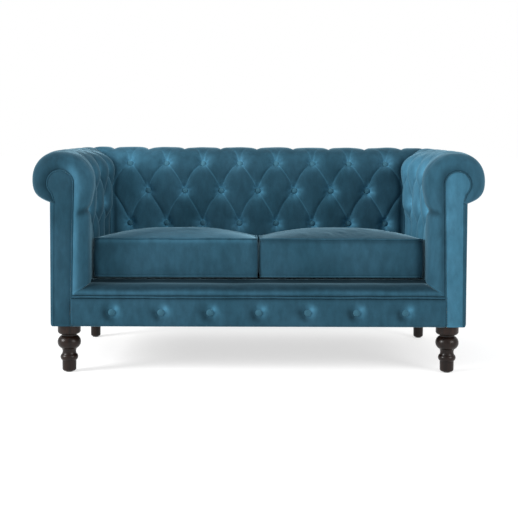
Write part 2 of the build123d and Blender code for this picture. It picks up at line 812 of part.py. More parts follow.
LEG_PLACES = [(side * x, y) for side in (-1, 1) for x, y in (FRONT_LEG, REAR_LEG)]

with BuildPart() as leg_bolts:
    with Locations(*[(x, y, BOLT_BOTTOM) for x, y in LEG_PLACES]):
        Cylinder(BOLT_RADIUS, BOLT_TOP - BOLT_BOTTOM, align=(Align.CENTER, Align.CENTER, Align.MIN))
save(leg_bolts, "leg_bolts")

with BuildPart() as leg_inserts:
    with Locations(*[(x, y, BASE_Z) for x, y in LEG_PLACES]):
        Cylinder(INSERT_RADIUS, INSERT_TOP - BASE_Z, align=(Align.CENTER, Align.CENTER, Align.MIN))
        Cylinder(
            BOLT_RADIUS,
            INSERT_TOP - BASE_Z,
            align=(Align.CENTER, Align.CENTER, Align.MIN),
            mode=Mode.SUBTRACT,
        )
save(leg_inserts, "leg_inserts")

with BuildPart() as leg_glides:
    with Locations(*[(x, y, 0) for x, y in LEG_PLACES]):
        Cylinder(GLIDE_RADIUS, GLIDE_HEIGHT, align=(Align.CENTER, Align.CENTER, Align.MIN))
save(leg_glides, "leg_glides")

with BuildPart() as dust_cover:
    box((-680, 680), (FRONT_RAIL_Y, REAR_RAIL_Y + RAIL), (BASE_Z - 1.2, BASE_Z))
    with Locations(*[(x, y, BASE_Z) for x, y in LEG_PLACES]):
        Cylinder(40, 10, mode=Mode.SUBTRACT)
save(dust_cover, "dust_cover")
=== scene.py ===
"""The look of a two-seat rolled-arm sofa: buttoned velvet, piped loose cushions and turned legs.

Everything is in metres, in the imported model's own frame: X along the sofa, Y from front to back, Z up.
"""

import json
from math import asin, cos, hypot, pi, radians, sin, sqrt, tan

import bpy
import numpy as np
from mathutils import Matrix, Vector
from mathutils.bvhtree import BVHTree


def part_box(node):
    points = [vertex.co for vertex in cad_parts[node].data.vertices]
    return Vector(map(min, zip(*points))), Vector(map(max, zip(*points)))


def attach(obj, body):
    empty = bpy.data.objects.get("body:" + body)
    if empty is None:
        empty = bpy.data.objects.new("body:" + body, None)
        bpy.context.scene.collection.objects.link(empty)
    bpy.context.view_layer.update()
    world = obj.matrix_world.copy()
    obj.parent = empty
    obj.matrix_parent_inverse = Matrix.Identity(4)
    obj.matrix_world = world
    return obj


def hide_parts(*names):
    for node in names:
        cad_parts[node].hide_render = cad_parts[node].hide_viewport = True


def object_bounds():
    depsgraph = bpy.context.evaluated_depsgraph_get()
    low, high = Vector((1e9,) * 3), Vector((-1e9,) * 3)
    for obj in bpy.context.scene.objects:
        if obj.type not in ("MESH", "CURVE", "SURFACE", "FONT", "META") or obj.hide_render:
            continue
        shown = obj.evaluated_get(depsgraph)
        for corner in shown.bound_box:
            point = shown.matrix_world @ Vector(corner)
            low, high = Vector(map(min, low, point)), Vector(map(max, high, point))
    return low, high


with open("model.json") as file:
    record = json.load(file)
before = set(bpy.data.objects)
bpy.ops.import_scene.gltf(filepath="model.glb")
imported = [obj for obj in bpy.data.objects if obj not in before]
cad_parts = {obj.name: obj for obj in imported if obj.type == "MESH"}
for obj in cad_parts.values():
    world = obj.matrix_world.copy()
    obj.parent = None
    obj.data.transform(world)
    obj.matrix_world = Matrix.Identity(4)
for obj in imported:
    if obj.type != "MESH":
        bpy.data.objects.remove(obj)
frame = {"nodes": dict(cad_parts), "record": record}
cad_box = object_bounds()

MM = 0.001
NODES = frame["nodes"]

# Sizes

HALF_WIDTH = cad_box[1].x
HALF_DEPTH = cad_box[1].y
BACK_SHIFT = HALF_WIDTH - HALF_DEPTH

# Section of the arms and back: a face that runs up into a roll
ROLL_RADIUS = 86 * MM
ROLL_FLAT = 16 * MM
QUARTER = ROLL_RADIUS * pi / 2
ROLL_SWELL = 7 * MM
SWELL_TURN = radians(125)
SWELL_SPREAD = 0.42
ROLL_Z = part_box("back_cover")[1].z - ROLL_RADIUS
INSIDE = HALF_WIDTH - 2 * ROLL_RADIUS - ROLL_FLAT
ROLL_IN = INSIDE + ROLL_RADIUS
ROLL_OUT = HALF_WIDTH - ROLL_RADIUS
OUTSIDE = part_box("right_outside_arm_panel")[1].x
TUCK_RUN = QUARTER + ROLL_FLAT + ROLL_RADIUS * (pi - asin((OUTSIDE - ROLL_OUT) / ROLL_RADIUS))
ARM_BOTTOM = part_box("right_arm_cover")[0].z
BACK_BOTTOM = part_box("back_cover")[0].z

# Diamond buttoning. Above about the first row and below the last, the folds run straight up and down.
BUTTON_SPACING = 141 * MM
BUTTON_RADIUS = 11.5 * MM
BUTTON_DEPTH = 22 * MM
PLEAT_DEPTH = 7 * MM
CREST_PUFF = 5 * MM
CREST_RUN = QUARTER + ROLL_FLAT / 2
CREST_SPREAD = 80 * MM
CALM_ROW = 0.55
CALM_SPREAD = 0.34
CALM_SHARE = 0.8
FUNNEL_FLOOR = 12.5 * MM
FUNNEL_REACH = 13 * MM
TAIL_DEPTH = 4 * MM
TAIL_WIDTH = 6 * MM
PUCKER_FOLDS = 7
PUCKER_HEIGHT = 0.8 * MM
PUCKER_RING = (24 * MM, 11 * MM)
CLOTH_WAVE = 0.9 * MM
HIDDEN_TUCK = 9 * MM
HALF_CELL = 24
CELL_CROWDING = 0.35
CREASE_BULGE = 0.14
CREASE_SWAY = 4.5 * MM

# Where an arm meets the back
CORNER_ROUND = 12 * MM
CORNER_SPREAD = 0.42
MITRE_DEPTH = 15 * MM
MITRE_WIDTH = 15 * MM

# Padded front border of each arm and of the seat
ARM_SWELL = 15 * MM
ARM_SWELL_RUN = -18 * MM
REAR_SWELL = 20 * MM
PUCKER_DEPTH = 9 * MM
SOFT_WAVE = 1.2 * MM
FIRM_WAVE = 0.6 * MM
BORDER_START = -340 * MM
BORDER_REACH = 61 * MM
BORDER_TURN = radians(126)
BORDER_COLUMNS = 34
LIP_DROP = 38 * MM
LIP_RISE = 9.5 * MM
LIP_TUCK = 8 * MM
LIP_REAR = -314 * MM
FACING_HEAD = (652 * MM, 631 * MM)
FACING_RADIUS = 41 * MM
FACING_BOTTOM_IN = 621 * MM
FACING_BOTTOM_OUT = 675 * MM
FACING_NECK = (672 * MM, 575 * MM)
NECK_ANGLE = radians(-50)
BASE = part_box("right_facing_panel")[0].z
FRONT = cad_box[0].y

# Loose cushions
RAKE = radians(3.5)
CUSHION_FRONT = (-325 * MM, 306 * MM)
CUSHION_DEPTH = 520 * MM
CUSHION_HEIGHT = 137 * MM
CUSHION_CORNER = 32 * MM
CROWN = 32 * MM
REAR_SAG = 7 * MM
PIPING_RADIUS = 2.9 * MM
PIPING_PULL = 0.75
FRONT_LIFT = 8 * MM
CUSHION_GROWTH = 3.0 * MM


# Small helpers


def smooth(x):
    """Smooth step from 0 at x = 0 to 1 at x = 1."""
    x = np.clip(x, 0.0, 1.0)
    return x * x * (3 - 2 * x)


def bell(x, width, power=2):
    """1 at x = 0, dying away over about width."""
    return np.exp(-((x / width) ** power))


def ripple(x, y, z, size, seed):
    """Gentle irregular waves about size metres long, from -1 to 1 or so."""
    count = 10
    rng = np.random.default_rng(seed)
    way = rng.normal(size=(count, 3))
    way /= np.linalg.norm(way, axis=1)[:, None]
    phase = rng.uniform(0, 2 * pi, count)
    rate = 2 * pi / (size * rng.uniform(0.7, 1.4, count))
    total = 0.0
    for k in range(count):
        total = total + np.sin(rate[k] * (way[k, 0] * x + way[k, 1] * y + way[k, 2] * z) + phase[k])
    return total / sqrt(count)


def show(name, data):
    """A new object in the scene."""
    thing = bpy.data.objects.new(name, data)
    bpy.context.scene.collection.objects.link(thing)
    return thing


def vertices(mesh):
    """Where a mesh's vertices are."""
    return np.array([v.co for v in mesh.vertices])


def place_vertices(mesh, points):
    """Move a mesh's vertices to points."""
    mesh.vertices.foreach_set("co", np.asarray(points, np.float32).reshape(-1))
    mesh.update()


def paint_light(mesh, painted_light):
    """Paint light and shade into the colour at each vertex: above 0 lighter, below 0 darker."""
    values = mesh.attributes.new("painted_light", "FLOAT", "POINT")
    values.data.foreach_set("value", np.asarray(painted_light, np.float32).reshape(-1))


def make_mesh(name, points, faces, material, shade_smooth=True, painted_light=None):
    """A mesh object from points and faces."""
    mesh = bpy.data.meshes.new(name)
    mesh.from_pydata(points.tolist(), [], faces)
    mesh.validate()
    if painted_light is not None:
        paint_light(mesh, painted_light)
    piece = show(name, mesh)
    if shade_smooth:
        mesh.polygons.foreach_set("use_smooth", [True] * len(mesh.polygons))
    mesh.materials.append(material)
    return piece


def grid_faces(rows, columns, wrap_rows=False, wrap_columns=False, flip=False):
    """Quads over a grid of rows x columns points."""
    i, j = np.meshgrid(
        np.arange(rows if wrap_rows else rows - 1),
        np.arange(columns if wrap_columns else columns - 1),
        indexing="ij",
    )
    a = i * columns + j
    b = i * columns + (j + 1) % columns
    c = ((i + 1) % rows) * columns + (j + 1) % columns
    d = ((i + 1) % rows) * columns + j
    quads = np.stack([a, b, c, d], -1).reshape(-1, 4)
    return quads[:, ::-1] if flip else quads


def creased_faces(depth, flip=False):
    """Triangles over a grid, each quad split along its deeper diagonal so creases stay crisp."""
    rows, columns = depth.shape
    quads = grid_faces(rows, columns)
    low = depth.reshape(-1)
    a, b, c, d = quads.T
    split_ac = (low[a] + low[c]) >= (low[b] + low[d])
    first = np.where(split_ac[:, None], np.stack([a, b, c], 1), np.stack([a, b, d], 1))
    second = np.where(split_ac[:, None], np.stack([a, c, d], 1), np.stack([b, c, d], 1))
    triangles = np.concatenate([first, second])
    return triangles[:, ::-1] if flip else triangles


def sheet_piece(name, grid, thickness, slot="velvet", depth=None, flip=False, painted_light=None):
    """A piece of the sofa's frame from a grid of points: rows, columns, 3."""
    if depth is None:
        faces = grid_faces(grid.shape[0], grid.shape[1], flip=flip)
    else:
        faces = creased_faces(depth, flip=flip)
    piece = make_mesh(name, grid.reshape(-1, 3), faces.tolist(), MATERIALS[slot], painted_light=painted_light)
    shell = piece.modifiers.new("thickness", "SOLIDIFY")
    shell.thickness = thickness
    shell.offset = -1
    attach(piece, "frame")
    return piece


def tube(name, path, radius, body, closed=False, swell=0.05, seed=0):
    """Velvet piping swept along path, a list of points."""
    sides = 12
    count = len(path)
    ahead = np.roll(path, -1, 0) - np.roll(path, 1, 0)
    if not closed:
        ahead[0] = path[1] - path[0]
        ahead[-1] = path[-1] - path[-2]
    ahead /= np.linalg.norm(ahead, axis=1)[:, None]
    side = np.cross(ahead, (0.0, 0.0, 1.0))
    steep = np.linalg.norm(side, axis=1) < 0.2
    side[steep] = np.cross(ahead[steep], (0.0, 1.0, 0.0))
    side /= np.linalg.norm(side, axis=1)[:, None]
    for k in range(1, count):
        if np.dot(side[k], side[k - 1]) < 0:
            side[k] = -side[k]
    up = np.cross(side, ahead)
    turn = np.linspace(0, 2 * pi, sides, endpoint=False)[:, None]
    thick = radius * (1 + swell * ripple(*path.T, 0.03, seed))
    around = np.cos(turn) * side[:, None] + np.sin(turn) * up[:, None]
    ring = path[:, None] + thick[:, None, None] * around
    faces = grid_faces(count, sides, wrap_rows=closed, wrap_columns=True).tolist()
    if not closed:
        faces.append(list(range(sides)))
        faces.append(list(range(count * sides - 1, (count - 1) * sides - 1, -1)))
    piece = make_mesh(name, ring.reshape(-1, 3), faces, MATERIALS["piping_velvet"])
    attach(piece, body)
    return piece


# Materials


class Recipe:
    """A node material being made, over the object's own coordinates."""

    def __init__(self, name):
        self.material = bpy.data.materials.new(name)
        self.material.use_nodes = True
        self.nodes = self.material.node_tree.nodes
        self.links = self.material.node_tree.links
        self.place = self.nodes.new("ShaderNodeTexCoord").outputs["Object"]

    def put(self, socket, value):
        """Link an output to a socket, or set a plain value or a colour on it."""
        if isinstance(value, bpy.types.NodeSocket):
            self.links.new(value, socket)
        elif socket.type == "RGBA":
            socket.default_value = (*value, 1)
        else:
            socket.default_value = value

    def node(self, kind, **inputs):
        """A new node and its inputs, where an underscore stands for a space."""
        node = self.nodes.new(kind)
        for name, value in inputs.items():
            self.put(node.inputs[name.replace("_", " ")], value)
        return node

    def noise(self, scale, detail=4.0, roughness=0.55, stretch=None):
        """Noise, optionally stretched."""
        place = self.place
        if stretch:
            place = self.node("ShaderNodeMapping", Scale=stretch, Vector=place).outputs["Vector"]
        inputs = {"Scale": scale, "Detail": detail, "Roughness": roughness, "Vector": place}
        return self.node("ShaderNodeTexNoise", **inputs).outputs["Fac"]

    def ramp(self, source, *stops):
        """Colour ramp through stops, each a place and a colour or grey."""
        ramp = self.node("ShaderNodeValToRGB", Fac=source)
        elements = ramp.color_ramp.elements
        while len(elements) < len(stops):
            elements.new(0.5)
        for element, (place, colour) in zip(elements, stops):
            element.position = place
            element.color = (*colour, 1) if isinstance(colour, tuple) else (colour, colour, colour, 1)
        return ramp.outputs["Color"]

    def blend(self, first, second, factor=1.0, mode="MULTIPLY"):
        """Blend two colours."""
        mix = self.nodes.new("ShaderNodeMix")
        mix.data_type = "RGBA"
        mix.blend_type = mode
        for name, value in (("Factor", factor), ("A", first), ("B", second)):
            self.put(mix.inputs[name], value)
        return mix.outputs["Result"]

    def bump(self, height, strength, distance, **normal):
        """Bump from a height, on top of another bump if one is given."""
        bump = self.node("ShaderNodeBump", Strength=strength, Distance=distance, Height=height, **normal)
        return bump.outputs["Normal"]

    def between(self, source, low, high):
        """A source that runs from 0 to 1, brought to run from low to high."""
        return self.node("ShaderNodeMapRange", To_Min=low, To_Max=high, Value=source).outputs["Result"]

    def finish(self, **inputs):
        """Set the shader's inputs and hand over the material."""
        for name, value in inputs.items():
            self.put(self.nodes["Principled BSDF"].inputs[name.replace("_", " ")], value)
        return self.material


def velvet(name, deep, light, sheen):
    """Cut-pile velvet: tone that varies in broad and small patches, edges lighter from rubbing and painted
    sheen, creases lighter from painted sheen, light and shade painted at each vertex, pile bump and sheen.
    """
    recipe = Recipe(name)
    colour = recipe.ramp(recipe.noise(5.0, detail=3.0), (0.32, deep), (0.7, light))
    brushed = recipe.noise(45.0, detail=6.0, roughness=0.6, stretch=(1.0, 1.0, 0.45))
    colour = recipe.blend(colour, recipe.ramp(brushed, (0.35, 0.84), (0.68, 1.12)))
    pile = recipe.noise(1500.0, detail=2.0)
    colour = recipe.blend(colour, recipe.ramp(pile, (0.3, 0.82), (0.7, 1.14)))
    # Painted sheen: creases lighter, and edges lighter from rubbing and painted sheen.
    edge = recipe.node("ShaderNodeNewGeometry").outputs["Pointiness"]
    colour = recipe.blend(colour, recipe.ramp(edge, (0.42, 1.25), (0.49, 1.0), (0.56, 1.3)))
    # Light and shade painted at each vertex, read from the mesh, scale the colour.
    painted_tone = recipe.node("ShaderNodeAttribute")
    painted_tone.attribute_name = "painted_light"
    catch = recipe.node("ShaderNodeMath")
    catch.operation = "ADD"
    recipe.put(catch.inputs[0], painted_tone.outputs["Fac"])
    recipe.put(catch.inputs[1], 1.0)
    colour = recipe.blend(colour, catch.outputs["Value"])
    crushed = recipe.bump(brushed, 0.25, 1.2 * MM)
    return recipe.finish(
        Base_Color=colour,
        Roughness=recipe.between(brushed, 0.72, 0.95),
        Specular_IOR_Level=0.05,
        Sheen_Weight=sheen,
        Sheen_Roughness=0.3,
        Sheen_Tint=SHEEN_TINT,
        Normal=recipe.bump(pile, 0.35, 0.4 * MM, Normal=crushed),
    )


def polished_wood(name, dark, light, along, gloss, coat):
    """Stained wood: grain drawn out along one axis, pores, handling wear and a clear coat."""
    recipe = Recipe(name)
    grain = recipe.noise(60.0, detail=8.0, roughness=0.65, stretch=along)
    colour = recipe.ramp(grain, (0.3, dark), (0.62, light))
    pores = recipe.noise(420.0, detail=3.0, stretch=along)
    colour = recipe.blend(colour, recipe.ramp(pores, (0.36, 0.6), (0.46, 1.0)), factor=0.8)
    edge = recipe.node("ShaderNodeNewGeometry").outputs["Pointiness"]
    colour = recipe.blend(colour, recipe.ramp(edge, (0.47, 0.75), (0.52, 1.0), (0.58, 1.8)), factor=0.7)
    smear = recipe.noise(18.0)
    return recipe.finish(
        Base_Color=colour,
        Roughness=recipe.between(smear, gloss, gloss + 0.18),
        Specular_IOR_Level=0.2,
        Coat_Weight=coat,
        Coat_Roughness=0.18,
        Normal=recipe.bump(pores, 0.2, 0.3 * MM),
    )


def woven(name, warp, weft, pitch):
    """Plain weave from two crossing waves, a little dirty."""
    recipe = Recipe(name)
    threads = []
    for axis in ("X", "Y"):
        wave = recipe.node("ShaderNodeTexWave", Scale=0.31 / pitch, Distortion=0.6, Vector=recipe.place)
        wave.bands_direction = axis
        threads.append(wave.outputs["Color"])
    cloth = recipe.blend(*threads, mode="DIFFERENCE")
    colour = recipe.ramp(cloth, (0.2, warp), (0.8, weft))
    dirt = recipe.ramp(recipe.noise(9.0, detail=5.0), (0.3, 0.82), (0.7, 1.08))
    return recipe.finish(
        Base_Color=recipe.blend(colour, dirt),
        Roughness=0.92,
        Sheen_Weight=0.15,
        Normal=recipe.bump(cloth, 0.4, 0.4 * MM),
    )


def open_foam(name, colour_deep, colour_light):
    """Open-cell foam: fine cells and a faint yellowing."""
    recipe = Recipe(name)
    cells = recipe.node("ShaderNodeTexVoronoi", Scale=700.0, Vector=recipe.place)
    return recipe.finish(
        Base_Color=recipe.ramp(recipe.noise(6.0), (0.3, colour_deep), (0.7, colour_light)),
        Roughness=0.95,
        Normal=recipe.bump(cells.outputs["Distance"], 0.6, 0.8 * MM),
    )


def worked_metal(name, colour, roughness):
    """Drawn or plated steel with fine lines and dull patches."""
    recipe = Recipe(name)
    lines = recipe.noise(260.0, stretch=(1.0, 0.15, 1.0))
    tone = tuple(c * 0.7 for c in colour)
    return recipe.finish(
        Base_Color=recipe.ramp(lines, (0.3, tone), (0.65, colour)),
        Metallic=1.0,
        Roughness=recipe.between(lines, roughness, roughness + 0.25),
    )


def moulded_plastic(name, colour):
    """Dark moulded plastic with a fine grain."""
    recipe = Recipe(name)
    grain = recipe.noise(900.0, detail=3.0)
    tone = tuple(c * 0.6 for c in colour)
    return recipe.finish(
        Base_Color=recipe.ramp(grain, (0.35, tone), (0.65, colour)),
        Roughness=0.55,
        Normal=recipe.bump(grain, 0.2, 0.2 * MM),
    )


TEAL = ((0.0143, 0.0495, 0.0745), (0.0212, 0.065, 0.0975))
# Button caps: a lighter copy of the velvet, painted light for the highlights the buttons catch.
LIT_TEAL_CAPS = ((0.038, 0.12, 0.172), (0.05, 0.145, 0.205))
TEAL_WEAVE = ((0.012, 0.05, 0.075), (0.03, 0.1, 0.14))
SHEEN_TINT = (0.45, 0.77, 0.94)
STAIN = ((0.002, 0.0012, 0.001), (0.012, 0.005, 0.003))
RAW_WOOD = ((0.42, 0.27, 0.14), (0.62, 0.44, 0.26))
GRAIN_UP = (1.0, 1.0, 0.12)
GRAIN_ACROSS = (0.15, 1.0, 1.0)
MATERIALS = {
    "velvet": velvet("velvet", *TEAL, 0.42),
    # Button caps use the lightened velvet: painted light.
    "button_velvet": velvet("button_velvet", *LIT_TEAL_CAPS, 0.5),
    "piping_velvet": velvet("piping_velvet", *TEAL, 0.42),
    "leg_wood": polished_wood("leg_wood", *STAIN, GRAIN_UP, 0.25, 0.06),
    "frame_wood": polished_wood("frame_wood", *RAW_WOOD, GRAIN_ACROSS, 0.55, 0.0),
    "spring_steel": worked_metal("spring_steel", (0.35, 0.35, 0.36), 0.35),
    "bolt_steel": worked_metal("bolt_steel", (0.5, 0.5, 0.52), 0.3),
    "glide_plastic": moulded_plastic("glide_plastic", (0.02, 0.02, 0.02)),
    "webbing": woven("webbing", (0.24, 0.17, 0.1), (0.42, 0.32, 0.2), 2.5 * MM),
    "foam": open_foam("foam", (0.7, 0.62, 0.42), (0.82, 0.78, 0.62)),
    "platform_cloth": woven("platform_cloth", *TEAL_WEAVE, 1.2 * MM),
    "dust_cloth": woven("dust_cloth", (0.004, 0.004, 0.005), (0.016, 0.016, 0.018), 1 * MM),
    "zip_tape": woven("zip_tape", *TEAL_WEAVE, 0.9 * MM),
    "zip_metal": worked_metal("zip_metal", (0.4, 0.4, 0.42), 0.25),
}

for subpart in frame["record"]["subparts"]:
    cad_mesh = NODES[subpart["node"]].data
    cad_mesh.materials.clear()
    cad_mesh.materials.append(MATERIALS[subpart["material_slot"]])


# Buttoned surfaces


def roll_profile(run):
    """Distance out, height and outward direction at run metres past the start of the roll."""
    turn_in = np.clip(run / ROLL_RADIUS, 0, pi / 2)
    flat = np.clip(run - QUARTER, 0, ROLL_FLAT)
    turn_out = np.clip((run - QUARTER - ROLL_FLAT) / ROLL_RADIUS, 0, None)
    fuller = ROLL_SWELL * bell(turn_out - SWELL_TURN, SWELL_SPREAD)
    out = ROLL_IN - ROLL_RADIUS * np.cos(turn_in) + flat + (ROLL_RADIUS + fuller) * np.sin(turn_out)
    height = ROLL_Z + np.minimum(run, 0) + ROLL_RADIUS * (np.sin(turn_in) - 1)
    height = height + (ROLL_RADIUS + fuller) * np.cos(turn_out)
    out_way = np.sin(turn_out) - np.cos(turn_in)
    up_way = np.sin(turn_in) * np.cos(turn_out)
    return out, height, out_way, up_way


BACK_PATTERN = {
    "runs": (200 * MM, 40.5 * MM, -74 * MM, -200 * MM),
    "start": 0.0,
    "columns": ((-3, 3), (-4, 3), (-3, 3), (-4, 3)),
    "crease_depth": 6 * MM,
    "sharpness": 7.5,
    # Painted sheen: the back's crease lines are lightened.
    "crease_painted_light": 1.1,
    "seed": 11,
}
ARM_PATTERN = {
    "runs": (190 * MM, 12 * MM, -108 * MM, -228 * MM),
    "start": -276 * MM,
    "columns": ((0, 3), (0, 2), (0, 3), None),
    "crease_depth": 16 * MM,
    "sharpness": 2.4,
    # Painted shade: the arms' crease valleys are darkened.
    "crease_painted_light": -0.45,
    "seed": 23,
}


def crowded(share):
    """Spread of grid lines over half a cell, closer together at its two ends."""
    return share - CELL_CROWDING * np.sin(2 * pi * share) / (2 * pi)


def bulged(share):
    """How far sideways a crease has gone, by its share of the way down to the next row."""
    return share + CREASE_BULGE * np.sin(pi * share)


def lattice_rows(pattern, bottom):
    """Grid rows from the tuck down: place among the button rows, and run along the section.

    Place is 0 on the top button row, 1 on the next and so on, and the creases cross it evenly.
    """
    runs = pattern["runs"]
    share = np.linspace(0, 1, 400)
    steps = crowded(np.arange(HALF_CELL) / HALF_CELL)
    down = np.interp(steps, bulged(share), share)
    row = [index + steps for index in range(3)]
    run = [high + (low - high) * down for high, low in zip(runs, runs[1:])]
    pitch = (runs[1] - runs[3]) / (2 * HALF_CELL)
    hidden = TUCK_RUN + HIDDEN_TUCK
    over = np.linspace(hidden, runs[0], round((hidden - runs[0]) / pitch), endpoint=False)
    under = np.linspace(runs[3], bottom, round((runs[3] - bottom) / pitch) + 1)
    row = [(runs[0] - over) / (runs[0] - runs[1]), *row, 3 + (runs[3] - under) / (runs[2] - runs[3])]
    return np.concatenate(row), np.concatenate([over, *run, under])


def lattice_columns(first, last):
    """Grid columns from one whole or half cell to another, in cells."""
    halves = np.arange(round(2 * first), round(2 * last))
    steps = crowded(np.arange(HALF_CELL) / HALF_CELL)
    return np.append((halves[:, None] + steps[None, :]).reshape(-1) / 2, last)


def crease(x, sharpness):
    """1 on a crease, at whole numbers, falling to 0 on the pillow's crown."""
    return np.abs(2 * (x - np.floor(x)) - 1) ** sharpness


def tuft_depth(pattern, row, run, t, keep):
    """How far the cover lies below the pillows' crowns, and the light and shade painted on it.

    keep fades the creases, not the buttons.
    """
    x = (t - pattern["start"]) / BUTTON_SPACING
    inner = np.clip(row, 0, 3)
    sharpness = pattern["sharpness"]
    one_way = crease(x + inner / 2, sharpness)
    other_way = crease(x - inner / 2, sharpness)
    calm = 1 - CALM_SHARE * bell(row - CALM_ROW, CALM_SPREAD)
    folds = np.where(row > 1.5, x + 0.5, x)
    away = np.maximum(smooth((0.8 - row) / 0.45), smooth((row - 3) / 0.55))
    diamond = calm * (1 - (1 - one_way) * (1 - other_way)) * (1 - away)
    pleat = crease(folds, sharpness) * away
    depth = keep * (pattern["crease_depth"] * diamond + PLEAT_DEPTH * pleat)
    depth = depth - CREST_PUFF * (away - pleat) * bell(run - CREST_RUN, CREST_SPREAD)
    depth = depth + keep * CLOTH_WAVE * ripple(t, run, 0 * t, 0.09, pattern["seed"])
    # Painted light along the crease lines, lighter on the back and darker on the arms, by the pattern's
    # crease value.
    thin = 1 - (1 - one_way**4) * (1 - other_way**4)
    painted_light = pattern["crease_painted_light"] * keep * thin * calm * (1 - away)
    for index, (button_run, columns) in enumerate(zip(pattern["runs"], pattern["columns"])):
        if columns is None:
            continue
        offset = 0.5 * (index % 2)
        column = np.clip(np.round(x - offset), *columns)
        across = (x - offset - column) * BUTTON_SPACING
        along = run - button_run
        distance = np.hypot(across, along)
        tail = bell(across - 0.1 * along, TAIL_WIDTH) * smooth(along / 0.01) * smooth((0.05 - along) / 0.04)
        depth = depth + TAIL_DEPTH * tail
        # Painted highlight along each button's tail.
        painted_light = painted_light + 0.5 * tail
        funnel = bell(np.maximum(distance - FUNNEL_FLOOR, 0), FUNNEL_REACH, 1.25)
        depth = depth + (BUTTON_DEPTH - depth) * funnel
        angle = np.arctan2(along, across)
        pucker = np.cos(PUCKER_FOLDS * angle + 2.1 * column + index)
        pucker = pucker * bell(distance - PUCKER_RING[0], PUCKER_RING[1])
        depth = depth + PUCKER_HEIGHT * pucker
        # Painted highlight in each button's funnel, brighter on one side and on the lower rows.
        shine = (1.5 + 0.5 * np.cos(angle - radians(40))) * (0.75 + 0.35 * index)
        painted_light = painted_light + shine * funnel * (1 + 0.35 * pucker)
    return depth, painted_light


def corner_path(out, t, end, way_out):
    """Bend a line parallel to the pad round the corner: position and direction in plan."""
    spread = CORNER_ROUND + CORNER_SPREAD * (out - INSIDE)
    begin = end - spread
    turn = np.clip((t - begin) / spread, 0, 1) * pi / 4
    bent_out = out - spread * (1 - np.cos(turn))
    bent_t = np.where(t > begin, begin + spread * np.sin(turn), t)
    return bent_out, bent_t, way_out * np.cos(turn), way_out * np.sin(turn)


def mitre_depth(depth, run, gap):
    """Pull the cover in along the mitre where an arm meets the back."""
    seam = MITRE_DEPTH * (1 - 0.55 * smooth((run - QUARTER) / 0.12))
    near = bell(gap, MITRE_WIDTH, 1.4)
    return depth + (seam - depth) * near


def toward_mitre(t, end):
    """Columns from t's last place to the mitre, which is at end on each row."""
    share = np.linspace(0, 1, 45)[1:]
    level = np.broadcast_to(t, (len(end), len(t)))
    return np.concatenate([level, t[-1] + share * (end - t[-1])], 1)


def front_pucker(run, t):
    """Pull line from an arm's front-most button forward across its border."""
    button_run = ARM_PATTERN["runs"][2]
    button_t = ARM_PATTERN["start"]
    return bell(run - button_run, 13 * MM) * (1 - smooth((t - button_t) / (14 * MM)))


def arm_swell(run, t):
    """How far the padding swells into the seat below the roll, most at the front border."""
    front = 0.35 + 0.65 * smooth((-250 * MM - t) / 0.07)
    under_roll = ARM_SWELL * front * bell(run - ARM_SWELL_RUN, 62 * MM)
    above_seat = smooth((run + 190 * MM) / 0.07) * (1 - smooth((run - 10 * MM) / 0.1))
    rear = REAR_SWELL * smooth((t + 150 * MM) / 0.25) * above_seat
    gap = roll_profile(run)[0] - BACK_SHIFT - t
    swell = np.maximum(under_roll, rear) * (1 - bell(gap, 26 * MM))
    return swell - PUCKER_DEPTH * front_pucker(run, t)


def arm_surface():
    """Right arm from the border to the mitre, its foot falling back with the seat's rake."""
    rows, runs = lattice_rows(ARM_PATTERN, ARM_BOTTOM - ROLL_Z)
    columns = lattice_columns(-0.5, 3)
    regular = ARM_PATTERN["start"] + BUTTON_SPACING * columns
    regular = np.append(BORDER_START, regular[regular > BORDER_START + 1 * MM])
    out, height, out_way, up_way = (v[:, None] for v in roll_profile(runs))
    end = out - BACK_SHIFT
    t = toward_mitre(regular, end)
    run = np.broadcast_to(runs[:, None], t.shape)
    row = np.broadcast_to(rows[:, None], t.shape)
    keep = smooth((t - (BORDER_START + 0.03)) / 0.036)
    depth, painted_light = tuft_depth(ARM_PATTERN, row, run, t, keep)
    depth = depth * smooth((t - BORDER_START) / 0.03)
    depth = mitre_depth(depth, run, end - t) - arm_swell(run, t)
    x, y, x_way, y_way = corner_path(out, t, end, out_way)
    lowest_row = ARM_PATTERN["runs"][3]
    foot = np.clip((lowest_row - run) / (lowest_row - runs[-1]), 0, 1)
    fall = foot * tan(RAKE) * (y - BORDER_START)
    points = np.stack([x - x_way * depth, y - y_way * depth, height - up_way * depth - fall], -1)
    return points, depth, painted_light, run


def facing_outline(run):
    """Point on the facing's edge that the border's section at run closes on."""
    head_x, head_z = FACING_HEAD
    neck_x, neck_z = FACING_NECK
    bottom_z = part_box("front_lip_cover")[0].z
    below = head_z + np.minimum(run, 0) * (head_z - bottom_z) / (ROLL_Z - bottom_z)
    lean = (head_z - below) / (head_z - BASE)
    straight_x = head_x - FACING_RADIUS + lean * (FACING_BOTTOM_IN - head_x + FACING_RADIUS)
    arc = FACING_RADIUS * (pi - NECK_ANGLE)
    top_x = head_x + FACING_RADIUS * cos(NECK_ANGLE)
    top_z = head_z + FACING_RADIUS * sin(NECK_ANGLE)
    neck = hypot(top_x - neck_x, top_z - neck_z)
    length = np.clip(run, 0, None) / TUCK_RUN * (arc + neck)
    angle = pi - np.minimum(length, arc) / FACING_RADIUS
    down = np.clip((length - arc) / neck, 0, 1)
    round_x = head_x + FACING_RADIUS * np.cos(angle) + down * (neck_x - top_x)
    round_z = head_z + FACING_RADIUS * np.sin(angle) + down * (neck_z - top_z)
    return np.where(run < 0, straight_x, round_x), np.where(run < 0, below, round_z)


def border_share(turn):
    """How far across the border its surface is, from 0 on the face to 1 at the facing."""
    return (1 - np.cos(turn)) / (1 - cos(BORDER_TURN))


